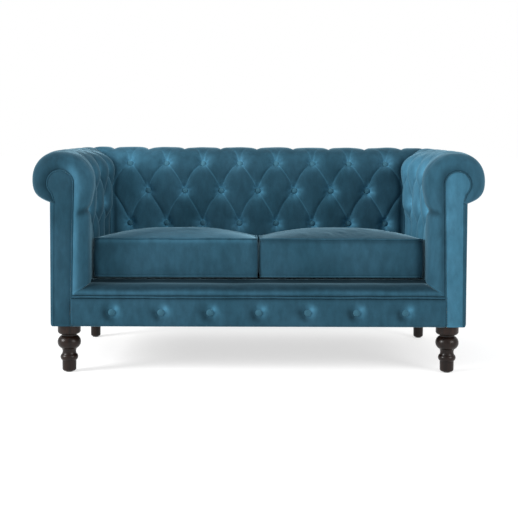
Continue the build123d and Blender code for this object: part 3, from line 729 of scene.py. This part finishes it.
def border_foot_run(share):
    """Run of the arm border's lower edge, where it is mitred into the seat's lip."""
    start = ARM_BOTTOM - ROLL_Z
    bottom_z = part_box("front_lip_cover")[0].z
    head = FACING_HEAD[1]
    shrink = (head - bottom_z) / (ROLL_Z - bottom_z)
    return (start + share * (ROLL_Z - head - LIP_DROP)) / (1 - share * (1 - shrink))


def border_surface():
    """The rounded front border of the right arm, from the facing round to the inside face."""
    runs = lattice_rows(ARM_PATTERN, ARM_BOTTOM - ROLL_Z)[1]
    turn = np.linspace(BORDER_TURN, 0, BORDER_COLUMNS)[None, :]
    share = border_share(turn)
    fixed = ARM_PATTERN["runs"][3]
    stretch = (border_foot_run(share) - fixed) / (runs[-1] - fixed)
    run = runs[:, None] + 0 * turn
    run = np.where(run < fixed, fixed + (run - fixed) * stretch, run)
    out, height, out_way = roll_profile(run)[:3]
    edge_x, edge_z = facing_outline(run)
    x = out + arm_swell(run, BORDER_START) * out_way
    x = x + (edge_x - x) * share
    z = height + (edge_z - height) * share
    y = BORDER_START - BORDER_REACH * np.sin(turn) + 0 * x
    sag = SOFT_WAVE * ripple(x, y, z, 0.16, 5) * np.sin(np.pi * np.clip(turn / BORDER_TURN, 0, 1))
    band = smooth((turn - radians(70)) / radians(40)) + 0 * x
    return np.stack([x + 0.4 * sag, y - sag, z], -1), band, run


def make_arm(side, pad_painted_light, face_painted_light, band_painted_light, roll_painted_light):
    """Inside arm, roll and front border as one cover, with light and shade painted on each part."""
    surface, depth, painted_light, run = arm_surface()
    border, band, border_run = (values[:, :-1] for values in border_surface())
    # Painted shade in the pull line across the border.
    border_painted_light = -0.55 * front_pucker(border_run, BORDER_START) * (1 - band)
    grid = np.concatenate([border, surface], 1)
    depth = np.concatenate([0 * band, depth], 1)
    run = np.concatenate([border_run, run], 1)
    painted_light = np.concatenate([border_painted_light, painted_light], 1)
    band = np.concatenate([band, np.zeros(surface.shape[:2])], 1)
    # Painted light and shade set panel by panel: pad, face, the band by the facing and the roll.
    pad = smooth((grid[:, :, 1] - BORDER_START - 0.01) / 0.05)
    face_painted_light = face_painted_light + (pad_painted_light - face_painted_light) * pad
    rolled = smooth((run - 0.3 * QUARTER) / QUARTER)
    painted_light = painted_light + (face_painted_light + (band_painted_light - face_painted_light) * band) * (1 - rolled) + roll_painted_light * rolled
    if side == "left":
        grid = grid * np.array([-1.0, 1.0, 1.0])
    piece = sheet_piece(f"{side}_arm_upholstery", grid, 2 * MM, depth=depth, flip=side == "left", painted_light=painted_light)
    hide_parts(f"{side}_arm_cover", f"{side}_arm_foam")


def make_back():
    """Inside back and roll as one cover, bent round to the arms at both ends."""
    rows, runs = lattice_rows(BACK_PATTERN, BACK_BOTTOM - ROLL_Z)
    out, height, out_way, up_way = (v[:, None] for v in roll_profile(runs))
    positive = toward_mitre(BUTTON_SPACING * lattice_columns(0, 3.5), out)
    t = np.concatenate([-positive[:, :0:-1], positive], 1)
    run = np.broadcast_to(runs[:, None], t.shape)
    row = np.broadcast_to(rows[:, None], t.shape)
    depth, painted_light = tuft_depth(BACK_PATTERN, row, run, t, np.ones_like(t))
    # Painted light standing in for fill: the left end and the lower rows are lightened.
    painted_light = painted_light + 0.7 * smooth((-0.2 - t) / 0.35) * smooth(row) + 0.15 * smooth((row - 1.5) / 1.5)
    depth = mitre_depth(depth, run, out - np.abs(t))
    sway = np.where((row > 0) & (row < 3), np.abs(np.sin(pi * row)), 0.0)
    swayed = t - CREASE_SWAY * sway * smooth((0.56 - np.abs(t)) / 0.12)
    y, x, y_way, x_way = corner_path(out, np.abs(swayed), out, out_way)
    x = np.sign(swayed) * (x - x_way * depth)
    points = np.stack([x, y - BACK_SHIFT - y_way * depth, height - up_way * depth], -1)
    piece = sheet_piece("back_upholstery", points, 2 * MM, depth=depth, painted_light=painted_light)
    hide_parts("back_cover", "back_foam")


def pattern_buttons(pattern):
    """Place and outward direction of each button: run section and distance along."""
    for index, (run, columns) in enumerate(zip(pattern["runs"], pattern["columns"])):
        if columns is None:
            continue
        for column in range(columns[0], columns[1] + 1):
            t = pattern["start"] + (column + 0.5 * (index % 2)) * BUTTON_SPACING
            out, height, out_way, up_way = (float(v) for v in roll_profile(np.float64(run)))
            yield t, out, height, out_way, up_way


CAP_RINGS = 9
CAP_SIDES = 28
CAP_DOME = 7.6 * MM
CAP_FOOT = 1.5 * MM


def make_buttons(name, places, node, painted_tone=0.0):
    """Covered buttons: a domed cap with gathered cloth at its rim, lightened or darkened evenly by painted
    light.
    """
    share = np.arange(1, CAP_RINGS + 1) / CAP_RINGS
    radius = BUTTON_RADIUS * np.sin(share * pi * 0.56)
    height = np.append(CAP_DOME * np.cos(share[:-1] * pi * 0.52) ** 0.9, -CAP_FOOT)
    angle = 2 * pi * np.arange(CAP_SIDES) / CAP_SIDES
    points = []
    faces = []
    for count, (centre, way) in enumerate(places):
        way = np.array(way) / np.linalg.norm(way)
        side = np.cross(way, (0.0, 0.0, 1.0) if abs(way[2]) < 0.9 else (1.0, 0.0, 0.0))
        side /= np.linalg.norm(side)
        around = np.cos(angle)[:, None] * side + np.sin(angle)[:, None] * np.cross(way, side)
        gather = 1 + 0.012 * share[:, None] ** 3 * np.cos(9 * angle + count)
        spots = (radius[:, None] * gather)[:, :, None] * around + way * height[:, None, None]
        first = len(points) + 1
        last = first + (CAP_RINGS - 1) * CAP_SIDES
        points += [centre + way * CAP_DOME, *(centre + spots.reshape(-1, 3))]
        faces += [[first - 1, first + k, first + (k + 1) % CAP_SIDES] for k in range(CAP_SIDES)]
        faces += (grid_faces(CAP_RINGS, CAP_SIDES, wrap_columns=True, flip=True) + first).tolist()
        faces.append([last + k for k in reversed(range(CAP_SIDES))])
    # The same painted lightening or darkening over every cap.
    painted_light = np.full(len(points), painted_tone)
    piece = make_mesh(name, np.array(points), faces, MATERIALS["button_velvet"], painted_light=painted_light)
    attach(piece, "frame")
    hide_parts(node)


def sink(centre, way):
    """A button's foot, below its point on the pillows' crowns."""
    return [c - w * BUTTON_DEPTH for c, w in zip(centre, way)]


def make_pad_buttons():
    """Buttons of the back and both arms."""
    places = []
    for t, out, height, out_way, up_way in pattern_buttons(BACK_PATTERN):
        way = (0.0, out_way, up_way)
        places.append((sink((t, out - BACK_SHIFT, height), way), way))
    make_buttons("back_button_caps", places, "back_buttons")
    for side, sign in (("left", -1), ("right", 1)):
        places = []
        for t, out, height, out_way, up_way in pattern_buttons(ARM_PATTERN):
            way = (sign * out_way, 0.0, up_way)
            places.append((sink((sign * out, t, height), way), way))
        make_buttons(f"{side}_arm_button_caps", places, f"{side}_arm_buttons")


make_back()
# Painted light set arm by arm: the right pad much lighter, the left band by the facing lighter, the left
# roll darker.
make_arm("left", pad_painted_light=0.3, face_painted_light=0.35, band_painted_light=0.75, roll_painted_light=-0.3)
make_arm("right", pad_painted_light=1.6, face_painted_light=0.35, band_painted_light=-0.05, roll_painted_light=0.15)
make_pad_buttons()


# Facings, lip and border


def facing_edge_points(grow):
    """Outline of the right facing, grow outside it, from its inner side's bottom to its outer's."""
    inner_foot = np.array([FACING_BOTTOM_IN, BASE])
    inner_head = np.array([FACING_HEAD[0] - FACING_RADIUS, FACING_HEAD[1]])
    outer_foot = np.array([FACING_BOTTOM_OUT, BASE])
    share = np.linspace(0, 1, 60)[:, None]
    up = inner_foot + share[:-1] * (inner_head - inner_foot)
    over = np.stack(facing_outline(np.linspace(0, 1, 90) * TUCK_RUN), -1)
    down = FACING_NECK + share[1:] * (outer_foot - FACING_NECK)
    points = np.concatenate([up, over, down])
    for smoothing in range(4):
        points[1:-1] = (points[:-2] + 2 * points[1:-1] + points[2:]) / 4
    tangent = np.gradient(points, axis=0)
    tangent /= np.linalg.norm(tangent, axis=1)[:, None]
    return points + grow * np.stack([-tangent[:, 1], tangent[:, 0]], 1)


def make_facing(side, sign, painted_tone):
    """Padded keyhole panel with its welt, lightened or darkened all over by painted light."""
    edge = facing_edge_points(-1.0 * MM)
    top = int(np.argmax(edge[:, 1]))
    slowing = 0.86 + 0.14 * np.sin(np.linspace(0, pi / 2, 40)[1:])
    rise = np.concatenate([np.linspace(0, 0.86, 110), slowing])
    level = BASE + rise * (edge[top, 1] - BASE - 0.02 * MM)
    inner = np.interp(level, edge[: top + 1, 1], edge[: top + 1, 0])
    outer = np.interp(level, edge[top:, 1][::-1], edge[top:, 0][::-1])
    across = (1 - np.cos(np.linspace(0, pi, 31)))[None, :] / 2
    x = inner[:, None] + (outer - inner)[:, None] * across
    z = np.broadcast_to(level[:, None], x.shape)
    gap = np.hypot(x[:, :, None] - edge[:, 0], z[:, :, None] - edge[:, 1]).min(2)
    crown = 5.5 * MM * (1 - np.exp(-gap / (9 * MM)))
    wave = FIRM_WAVE * ripple(x, 0 * x, z, 0.07, 31) * np.clip(gap / (15 * MM), 0, 1)
    grid = np.stack([sign * x, FRONT + 6.5 * MM - crown - wave, z], -1)
    piece = sheet_piece(f"{side}_facing", grid, 1.5 * MM, flip=sign > 0, painted_light=np.full(x.shape, painted_tone))
    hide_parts(f"{side}_facing_panel")
    outline = facing_edge_points(1.6 * MM)
    front = np.full(len(outline), FRONT + 5.0 * MM)
    path = np.stack([sign * outline[:, 0], front, outline[:, 1]], -1)
    welt = tube(f"{side}_facing_piping", path, 2.2 * MM, "frame")
    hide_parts(f"{side}_facing_welt")


def make_lip():
    """Rounded lip under the cushions, mitred into the arms' borders, with painted shadow under the
    cushions' front edge.
    """
    turn = np.append(BORDER_TURN, np.linspace(BORDER_TURN, 0, 30))
    share = border_share(turn)
    foot = border_foot_run(share)
    out, height = roll_profile(foot)[:2]
    edge_x, edge_z = facing_outline(foot)
    reach = out + (edge_x - out) * share
    level = height + (edge_z - height) * share
    front = BORDER_START - BORDER_REACH * np.sin(turn)
    level[0] -= LIP_TUCK
    front[0] += 1 * MM
    rear_y = np.linspace(BORDER_START, LIP_REAR, 14)[1:]
    reach = np.concatenate([reach, reach[-1] + 7 * MM * smooth((rear_y - BORDER_START) / 0.012)])
    rise = LIP_RISE * ((rear_y - BORDER_START) / (LIP_REAR - BORDER_START)) ** 1.5
    level = np.concatenate([level, level[-1] + rise])
    front = np.concatenate([front, rear_y])
    across = np.linspace(-1, 1, 320)
    x = reach[:, None] * across
    y = front[:, None] + 0 * x
    z = level[:, None] + 0 * x
    puff = SOFT_WAVE * ripple(x, y, z, 0.2, 8)
    pull = 0.7 * MM * bell((1 - np.abs(across)) * reach[:, None], 6 * MM)
    ends = np.clip((1 - np.abs(across)) / 0.02, 0, 1)
    puff = puff * ends * np.sin(np.pi * np.linspace(0, 1, len(front)))[:, None]
    grid = np.stack([x, y - puff + pull * 0.3, z + puff - pull], -1)
    # Painted shadow: darker along the top and rear, under the cushions' front edge, lighter down the front.
    painted_tone = np.concatenate([0.75 * smooth((share - 0.25) / 0.45), 0 * rear_y]) - 0.5
    painted_light = painted_tone[:, None] - 0.25 * smooth((y - BORDER_START + 0.012) / 0.02)
    piece = sheet_piece("front_lip", grid, 1.5 * MM, painted_light=painted_light)
    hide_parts("front_lip_cover", "front_edge_foam")


BORDER_BUTTON_X = [161.5 * MM * i for i in range(-3, 4)]
BORDER_BUTTON_Z = 205 * MM
BORDER_BUTTON_DEPTH = 9 * MM
EDGE_CURL = 9 * MM


def make_front_border():
    """Padded panel under the seat with a row of shallow buttons, and painted highlights and shade round
    them.
    """
    low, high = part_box("front_border_panel")
    columns = np.linspace(low.x - 6 * MM, high.x + 6 * MM, 620)
    around = np.linspace(-1, 1, 60)
    mid = (low.z + high.z) / 2
    half = (high.z - low.z) / 2
    x, s = np.meshgrid(columns, around)
    z = mid - s * half
    edge = np.abs(s) ** 10
    y = FRONT + 1.5 * MM + EDGE_CURL * edge
    painted_light = np.zeros(x.shape)
    for button_x in BORDER_BUTTON_X:
        distance = np.hypot(x - button_x, z - BORDER_BUTTON_Z)
        funnel = bell(np.maximum(distance - BUTTON_RADIUS, 0), 17 * MM, 1.2)
        lean = (0.85 * (x - button_x) + 0.5 * (z - BORDER_BUTTON_Z)) / np.maximum(distance, 1 * MM)
        halo = bell(distance - 20 * MM, 13 * MM)
        # Painted highlight on each dimple, with painted light on one side of it and painted shade on the
        # other.
        painted_light = painted_light + 0.75 * bell(distance, 16 * MM) + 0.6 * lean * halo
        y = y + (FRONT + BORDER_BUTTON_DEPTH + 0.5 * MM - y) * funnel
        angle = np.arctan2(z - BORDER_BUTTON_Z, x - button_x)
        # Painted highlight to one side of each dimple.
        painted_light = painted_light + 0.7 * halo * np.clip(np.cos(angle - 0.65), 0, 1) ** 6
        gathers = np.cos(6 * angle + 40 * button_x) * bell(distance - 22 * MM, 10 * MM)
        tension = bell(z - BORDER_BUTTON_Z, 7 * MM) * np.exp(-np.abs(x - button_x) / (35 * MM))
        y = y + FIRM_WAVE * gathers + SOFT_WAVE * tension
    # Painted shadow along the top, below the welt.
    painted_light = painted_light - 0.3 * smooth((z - high.z + 0.016) / 0.014)
    y = y + 1.1 * MM * ripple(x, 0 * x, z, 0.11, 17) * (1 - edge)
    grid = np.stack([x, y, z], -1)
    piece = sheet_piece("front_border", grid, 1.5 * MM, painted_light=painted_light)
    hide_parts("front_border_panel")
    button_y = FRONT + BORDER_BUTTON_DEPTH
    places = [((button_x, button_y, BORDER_BUTTON_Z), (0.0, -1.0, 0.0)) for button_x in BORDER_BUTTON_X]
    # Painted shade: the border's button caps are darkened.
    make_buttons("front_border_button_caps", places, "front_border_buttons", painted_tone=-0.35)
    welt_low, welt_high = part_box("front_border_welt")
    xs = np.linspace(welt_low.x - 7 * MM, welt_high.x + 7 * MM, 260)
    zs = (welt_low.z + welt_high.z) / 2 + FIRM_WAVE * ripple(xs, 0 * xs, 0 * xs, 0.12, 3)
    path = np.stack([xs, np.full(len(xs), welt_low.y + 3.9 * MM), zs], -1)
    welt = tube("front_border_piping", path, 3.0 * MM, "frame")
    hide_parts("front_border_welt")


# Outside panels: how far they stand out, wave, and pull in at the hem
PANEL_FILL = 1.6 * MM
PANEL_WAVE = 0.9 * MM
HEM_PULL = 3 * MM
HEM_HEIGHT = 4 * MM


def make_outside_arm(side, sign):
    """Flat outside panel, rounded in at the front and rear edges."""
    low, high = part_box("right_outside_arm_panel")
    corner = 10 * MM
    quarter = np.linspace(0, pi / 2, 9)
    centre_x = high.x - corner
    front = [(centre_x + corner * sin(a), low.y + corner * (1 - cos(a))) for a in quarter]
    rear = [(centre_x + corner * cos(a), high.y - corner + corner * sin(a)) for a in quarter]
    side_run = [(high.x, y) for y in np.linspace(low.y + corner, high.y - corner, 120)[1:-1]]
    tucked_in = [(centre_x - 12 * MM, low.y + 3 * MM), (centre_x - 4 * MM, low.y + 0.6 * MM)]
    plan = np.array(tucked_in + front + side_run + rear)
    z = np.linspace(low.z, high.z + 2 * MM, 80)
    x, y = plan.T[:, None] + 0 * z[:, None]
    tucked = 3 * MM + 7 * MM * smooth((y - low.y) / 0.03)
    level = z[:, None] + tucked * smooth((z[:, None] - high.z + 0.05) / 0.05)
    share_y = np.clip((y - low.y) / (high.y - low.y), 0, 1)
    inner = np.sin(np.pi * share_y) * np.sin(np.pi * (level - low.z) / (high.z - low.z))
    x = x + np.maximum(inner, 0) * (PANEL_FILL + PANEL_WAVE * ripple(x, y, level, 0.22, 41))
    x = x - HEM_PULL * bell(level - low.z, HEM_HEIGHT)
    grid = np.stack([sign * x, y, level], -1)
    piece = sheet_piece(f"{side}_outside_arm", grid, 1.5 * MM, flip=sign < 0)
    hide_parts(f"{side}_outside_arm_panel")


def make_outside_back():
    """Flat outside back panel with a faint pull towards its edges."""
    low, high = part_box("outside_back_panel")
    xs = np.linspace(low.x - 3 * MM, high.x + 3 * MM, 260)
    zs = np.linspace(low.z, high.z + 2 * MM, 90)
    x, z = np.meshgrid(xs, zs)
    inner = np.sin(np.pi * (x - low.x) / (high.x - low.x)) * np.sin(np.pi * (z - low.z) / (high.z - low.z))
    y = high.y + np.maximum(inner, 0) * (PANEL_FILL + PANEL_WAVE * ripple(x, 0 * x, z, 0.25, 43))
    y = y - HEM_PULL * bell(z - low.z, HEM_HEIGHT)
    grid = np.stack([x, y, z], -1)
    piece = sheet_piece("outside_back", grid, 1.5 * MM, flip=True)
    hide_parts("outside_back_panel")


# Painted light: the right facing much lighter than the left.
for side, sign, painted_tone in (("left", -1, -0.15), ("right", 1, 1.1)):
    make_facing(side, sign, painted_tone)
    make_outside_arm(side, sign)
make_lip()
make_front_border()
make_outside_back()


# Seat deck and cushions


def make_deck():
    """Platform cloth stretched over the deck pad, with a sewn panel line."""
    low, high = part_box("seat_deck_cover")
    nose = 6 * MM
    setback = 2 * MM
    bend = np.linspace(0, pi / 2, 8)
    ys = np.concatenate([[low.y + setback] * 3, low.y + setback + nose * (1 - np.cos(bend))])
    drop = np.concatenate([[16 * MM, 12 * MM, 9 * MM], nose * (1 - np.sin(bend))])
    flat = np.linspace(ys[-1], high.y, 130)[1:]
    ys = np.concatenate([ys, flat])
    drop = np.concatenate([drop, 0 * flat])
    xs = np.linspace(low.x - 2 * MM, high.x + 2 * MM, 240)
    x, y = np.meshgrid(xs, ys)
    z = high.z - tan(RAKE) * (y - low.y) - 0.8 * MM - drop[:, None]
    side = np.minimum(x - low.x, high.x - x)
    z = z - 0.4 * MM * np.exp(-side / (12 * MM))
    seam_y = low.y + 90 * MM
    z = z - 1.2 * MM * bell(y - seam_y, 4 * MM)
    z = z + 0.4 * MM * ripple(x, y, 0 * x, 0.13, 51)
    grid = np.stack([x, y, z], -1)
    piece = sheet_piece("seat_deck", grid, 1 * MM, slot="platform_cloth")
    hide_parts("seat_deck_cover")


def to_cushion(points, middle):
    """Points in a cushion's own raked frame, from the middle of its front bottom edge."""
    y = points[:, 1] - CUSHION_FRONT[0]
    z = points[:, 2] - CUSHION_FRONT[1]
    raked_y = y * cos(RAKE) - z * sin(RAKE)
    raked_z = y * sin(RAKE) + z * cos(RAKE)
    return np.stack([points[:, 0] - middle, raked_y, raked_z], 1)


def from_cushion(points, middle):
    """The reverse of to_cushion."""
    y = points[:, 1] * cos(RAKE) + points[:, 2] * sin(RAKE)
    z = -points[:, 1] * sin(RAKE) + points[:, 2] * cos(RAKE)
    return np.stack([points[:, 0] + middle, y + CUSHION_FRONT[0], z + CUSHION_FRONT[1]], 1)


def rear_sag(y):
    """How far a cushion's top edge has sunk, more towards the back."""
    return REAR_SAG * smooth(y / CUSHION_DEPTH)


def front_lift(y, z):
    """How far the underside turns up at a cushion's front edge."""
    return FRONT_LIFT * smooth((60 * MM - y) / (60 * MM)) * smooth(1 - z / (60 * MM))


def crowned(points, half_width, seed):
    """Crown the top, round the sides and front a little and lift the underside's front edge."""
    x, y, z = points.T
    across = np.clip(np.abs(x) / half_width, 0, 1)
    back = np.clip(np.abs(y - CUSHION_DEPTH / 2) / (CUSHION_DEPTH / 2), 0, 1)
    dome = (1 - across**2.1) * (1 - back**2.4)
    top = smooth((z - 0.55 * CUSHION_HEIGHT) / (0.42 * CUSHION_HEIGHT))
    ruck = 0.0014 * ripple(x, y, z, 0.12, seed) + 0.0008 * ripple(x, y, z, 0.05, seed + 1)
    lift = top * (CROWN * np.clip(dome, 0, None) ** 0.85 + ruck * np.clip(dome * 3, 0, 1))
    belly = np.sin(np.pi * np.clip(z / CUSHION_HEIGHT, 0, 1))
    side_pull = 5 * MM * belly * (1 - 0.3 * back**4) * smooth((across - 0.86) / 0.14)
    front_pull = 6 * MM * belly * (1 - 0.5 * across**4) * smooth((back - 0.86) / 0.14)
    front_pull = np.where(y < CUSHION_DEPTH / 2, front_pull, 0.0)
    lift = lift - rear_sag(y) * np.clip(z / CUSHION_HEIGHT, 0, 1) + front_lift(y, z)
    x = x + np.sign(x) * side_pull
    y = y + np.sign(y - CUSHION_DEPTH / 2) * front_pull
    return np.stack([x, y, z + lift], 1)


def between_neighbours(points, side):
    """Keep a cushion on its own side of the middle and off the arm, where soft sides press flat."""
    sign = -1 if side == "left" else 1
    x = np.clip(sign * points[:, 0], 0.4 * MM, INSIDE - 0.8 * MM)
    return np.stack([sign * x, points[:, 1], points[:, 2]], 1)


VELVET_CLOTH = {
    "quality": 4,
    "mass": 0.3,
    "tension_stiffness": 12,
    "compression_stiffness": 12,
    "shear_stiffness": 6,
    "bending_stiffness": 0.4,
    "use_pressure": True,
    "uniform_pressure_force": 4.0,
}
CLOTH_FRAMES = 20

# How finely a cushion is meshed, what the cloth leaves in place, and how far it may move the rest
VOXEL = 6 * MM
SEAM_REACH = 9 * MM
FLAT_BOTTOM = 12 * MM
TOP_SWELL = 10 * MM
SIDE_SWELL = 4 * MM


def simulate(piece, pinned, limit):
    """Swell a closed cushion with cloth pressure, hold its seams and cap how far it moves."""
    rest = vertices(piece.data)
    group = piece.vertex_groups.new(name="seams")
    for index in np.nonzero(pinned)[0]:
        group.add([int(index)], 1.0, "REPLACE")
    cloth = piece.modifiers.new("Cloth", "CLOTH")
    for name, value in VELVET_CLOTH.items():
        setattr(cloth.settings, name, value)
    cloth.settings.vertex_group_mass = group.name
    cloth.settings.effector_weights.gravity = 0
    cloth.point_cache.frame_start = 1
    cloth.point_cache.frame_end = CLOTH_FRAMES
    for step in range(1, CLOTH_FRAMES + 1):
        bpy.context.scene.frame_set(step)
    shown = piece.evaluated_get(bpy.context.evaluated_depsgraph_get())
    moved = vertices(shown.data)
    piece.modifiers.remove(cloth)
    piece.vertex_groups.clear()
    bpy.context.scene.frame_set(1)
    shift = moved - rest
    length = np.linalg.norm(shift, axis=1)
    scale = limit / np.maximum(length, limit)
    return rest + shift * scale[:, None]


def remeshed_core(side):
    """The cushion's CAD core as a new piece with an even mesh."""
    piece = show(f"{side}_cushion", NODES[f"{side}_cushion_core"].data.copy())
    remesh = piece.modifiers.new("Remesh", "REMESH")
    remesh.mode = "VOXEL"
    remesh.voxel_size = VOXEL
    shown = piece.evaluated_get(bpy.context.evaluated_depsgraph_get())
    even = bpy.data.meshes.new_from_object(shown)
    piece.modifiers.clear()
    piece.data = even
    return piece


def make_cushion(side, seed, top_painted_light):
    """A crowned box cushion with soft sides, painted light on its top, and its piping."""
    piece = remeshed_core(side)
    low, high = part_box(f"{side}_cushion_cover")
    middle = (low.x + high.x) / 2
    half_width = (high.x - low.x) / 2
    local = to_cushion(vertices(piece.data), middle)
    centre = np.array([0.0, CUSHION_DEPTH / 2, CUSHION_HEIGHT / 2])
    grow = 1 + CUSHION_GROWTH / np.array([half_width, CUSHION_DEPTH / 2, CUSHION_HEIGHT / 2])
    local = centre + (local - centre) * grow
    shaped = crowned(local, half_width, seed)
    place_vertices(piece.data, from_cushion(shaped, middle))
    x, y, z = local.T
    in_plan = np.minimum(half_width - np.abs(x), np.minimum(y, CUSHION_DEPTH - y))
    in_height = np.minimum(np.abs(z), np.abs(z - CUSHION_HEIGHT))
    pinned = np.maximum(in_plan, in_height) < SEAM_REACH
    pinned |= (z < FLAT_BOTTOM) | (y > CUSHION_DEPTH - SEAM_REACH)
    limit = np.where(z > 0.8 * CUSHION_HEIGHT, TOP_SWELL, SIDE_SWELL)
    place_vertices(piece.data, simulate(piece, pinned, limit))
    settled = vertices(piece.data)
    place_vertices(piece.data, between_neighbours(settled, side))
    # Painted light on the top, by the amount given for this cushion.
    on_top = smooth((local[:, 2] / CUSHION_HEIGHT - 0.85) / 0.1)
    paint_light(piece.data, top_painted_light * on_top)
    piece.data.materials.clear()
    piece.data.materials.append(MATERIALS["velvet"])
    piece.data.polygons.foreach_set("use_smooth", [True] * len(piece.data.polygons))
    finer = piece.modifiers.new("Subdivision", "SUBSURF")
    finer.levels = 1
    finer.render_levels = 1
    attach(piece, f"{side}_cushion")
    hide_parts(f"{side}_cushion_cover", f"{side}_cushion_core")
    for label, level in (("lower", 0.0), ("upper", CUSHION_HEIGHT)):
        path = from_cushion(piping_path(half_width + 1.2 * MM, level, seed), middle)
        path = sewn_down(path, piece.data)
        name = f"{side}_cushion_{label}_piping"
        ring = tube(name, path, PIPING_RADIUS, f"{side}_cushion", closed=True, swell=0.06, seed=seed)
        if label == "lower":
            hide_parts(f"{side}_cushion_piping")


def sewn_down(path, mesh):
    """Draw a closed path most of the way in to a mesh's surface."""
    tree = BVHTree.FromPolygons([v.co for v in mesh.vertices], [p.vertices for p in mesh.polygons])
    surface = np.array([tree.find_nearest(Vector(point))[0] for point in path])
    pull = PIPING_PULL * (surface - path)
    pull = sum(np.roll(pull, step, axis=0) for step in range(-3, 4)) / 7
    return path + pull


def piping_path(half_width, level, seed):
    """Rounded rectangle that the piping follows, in the cushion's own frame."""
    half_depth = CUSHION_DEPTH / 2
    middles = np.array([(1, -1), (1, 1), (-1, 1), (-1, -1)])[:, None]
    middles = middles * (half_width - CUSHION_CORNER, half_depth - CUSHION_CORNER) + (0, half_depth)
    angle = pi / 2 * np.arange(-1, 3)[:, None] + np.linspace(0, pi / 2, 14)
    corners = middles + CUSHION_CORNER * np.stack([np.cos(angle), np.sin(angle)], -1)
    corners = corners.reshape(-1, 2)
    corners = np.append(corners, corners[:1], 0)
    step = np.linalg.norm(np.diff(corners, axis=0), axis=1)
    along = np.concatenate([[0], np.cumsum(step)])
    even = np.linspace(0, along[-1], 420, endpoint=False)
    x = np.interp(even, along, corners[:, 0])
    y = np.interp(even, along, corners[:, 1])
    wave = 0.0008 * ripple(x, y, 0 * x, 0.15, seed + 7)
    return np.stack([x, y, level + wave - rear_sag(y) * level / CUSHION_HEIGHT + front_lift(y, level)], 1)


make_deck()
# Painted light on the tops: the left cushion lighter, the right darker.
make_cushion("left", 61, top_painted_light=0.45)
make_cushion("right", 71, top_painted_light=-0.3)


# Stage, light and camera


AMBIENT = 0.8
FLOOR_TONE = 0.5
FLOOR_REACH = 30.0

# Name, place, target, size and power of each lamp
LAMPS = (
    ("key", (-4.2, -2.0, 2.3), (0, 0, 0.4), 1.6, 240),
    ("fill", (3.6, -3.4, 2.2), (-0.3, 0, 0.4), 2.0, 110),
)

# Camera fitted to the photograph's outline: the turn is in degrees, the lens in mm on a 36 mm sensor
CAMERA_PLACE = (-0.0295, -3.826, 0.798)
CAMERA_TURN = (90 - 2.96, -0.24, -0.47)
CAMERA_LENS = 72.9
CAMERA_SHIFT = -0.139


def make_stage():
    """Plain pale floor, bright enough to meet the white backdrop without a line."""
    material = bpy.data.materials.new("studio_floor")
    material.use_nodes = True
    shader = material.node_tree.nodes["Principled BSDF"]
    shader.inputs["Base Color"].default_value = (FLOOR_TONE, FLOOR_TONE, FLOOR_TONE, 1)
    shader.inputs["Roughness"].default_value = 0.9
    shader.inputs["Emission Color"].default_value = (1, 1, 1, 1)
    shader.inputs["Emission Strength"].default_value = 1.0 - FLOOR_TONE * AMBIENT
    corners = FLOOR_REACH * np.array([(-1, -1, 0), (1, -1, 0), (1, 1, 0), (-1, 1, 0)])
    floor = make_mesh("studio_floor", corners, [[0, 1, 2, 3]], material, shade_smooth=False)


def area_light(name, place, target, size, power):
    """A soft white square lamp aimed at target."""
    data = bpy.data.lights.new(name, "AREA")
    data.shape = "SQUARE"
    data.size = size
    data.energy = power
    lamp = show(name, data)
    lamp.location = place
    aim = np.array(target) - np.array(place)
    lamp.rotation_euler = Vector(aim).to_track_quat("-Z", "Y").to_euler()


def make_lights():
    """White backdrop, dim even surroundings, and soft lamps, the strongest from the left."""
    world = bpy.data.worlds.new("studio")
    bpy.context.scene.world = world
    world.use_nodes = True
    nodes = world.node_tree.nodes
    links = world.node_tree.links
    background = nodes["Background"]
    background.inputs["Color"].default_value = (1, 1, 1, 1)
    strength = nodes.new("ShaderNodeMapRange")
    strength.inputs["To Min"].default_value = AMBIENT
    strength.inputs["To Max"].default_value = 1.0
    links.new(nodes.new("ShaderNodeLightPath").outputs["Is Camera Ray"], strength.inputs["Value"])
    links.new(strength.outputs["Result"], background.inputs["Strength"])
    bpy.context.scene.view_settings.view_transform = "Standard"
    for lamp in LAMPS:
        area_light(*lamp)


def make_camera():
    """Camera a little left of the middle, at 0.8 m, looking slightly down."""
    data = bpy.data.cameras.new("camera")
    data.sensor_width = 36
    data.lens = CAMERA_LENS
    data.shift_y = CAMERA_SHIFT
    camera = show("camera", data)
    camera.location = CAMERA_PLACE
    camera.rotation_euler = [radians(turn) for turn in CAMERA_TURN]
    bpy.context.scene.camera = camera


make_stage()
make_lights()
make_camera()
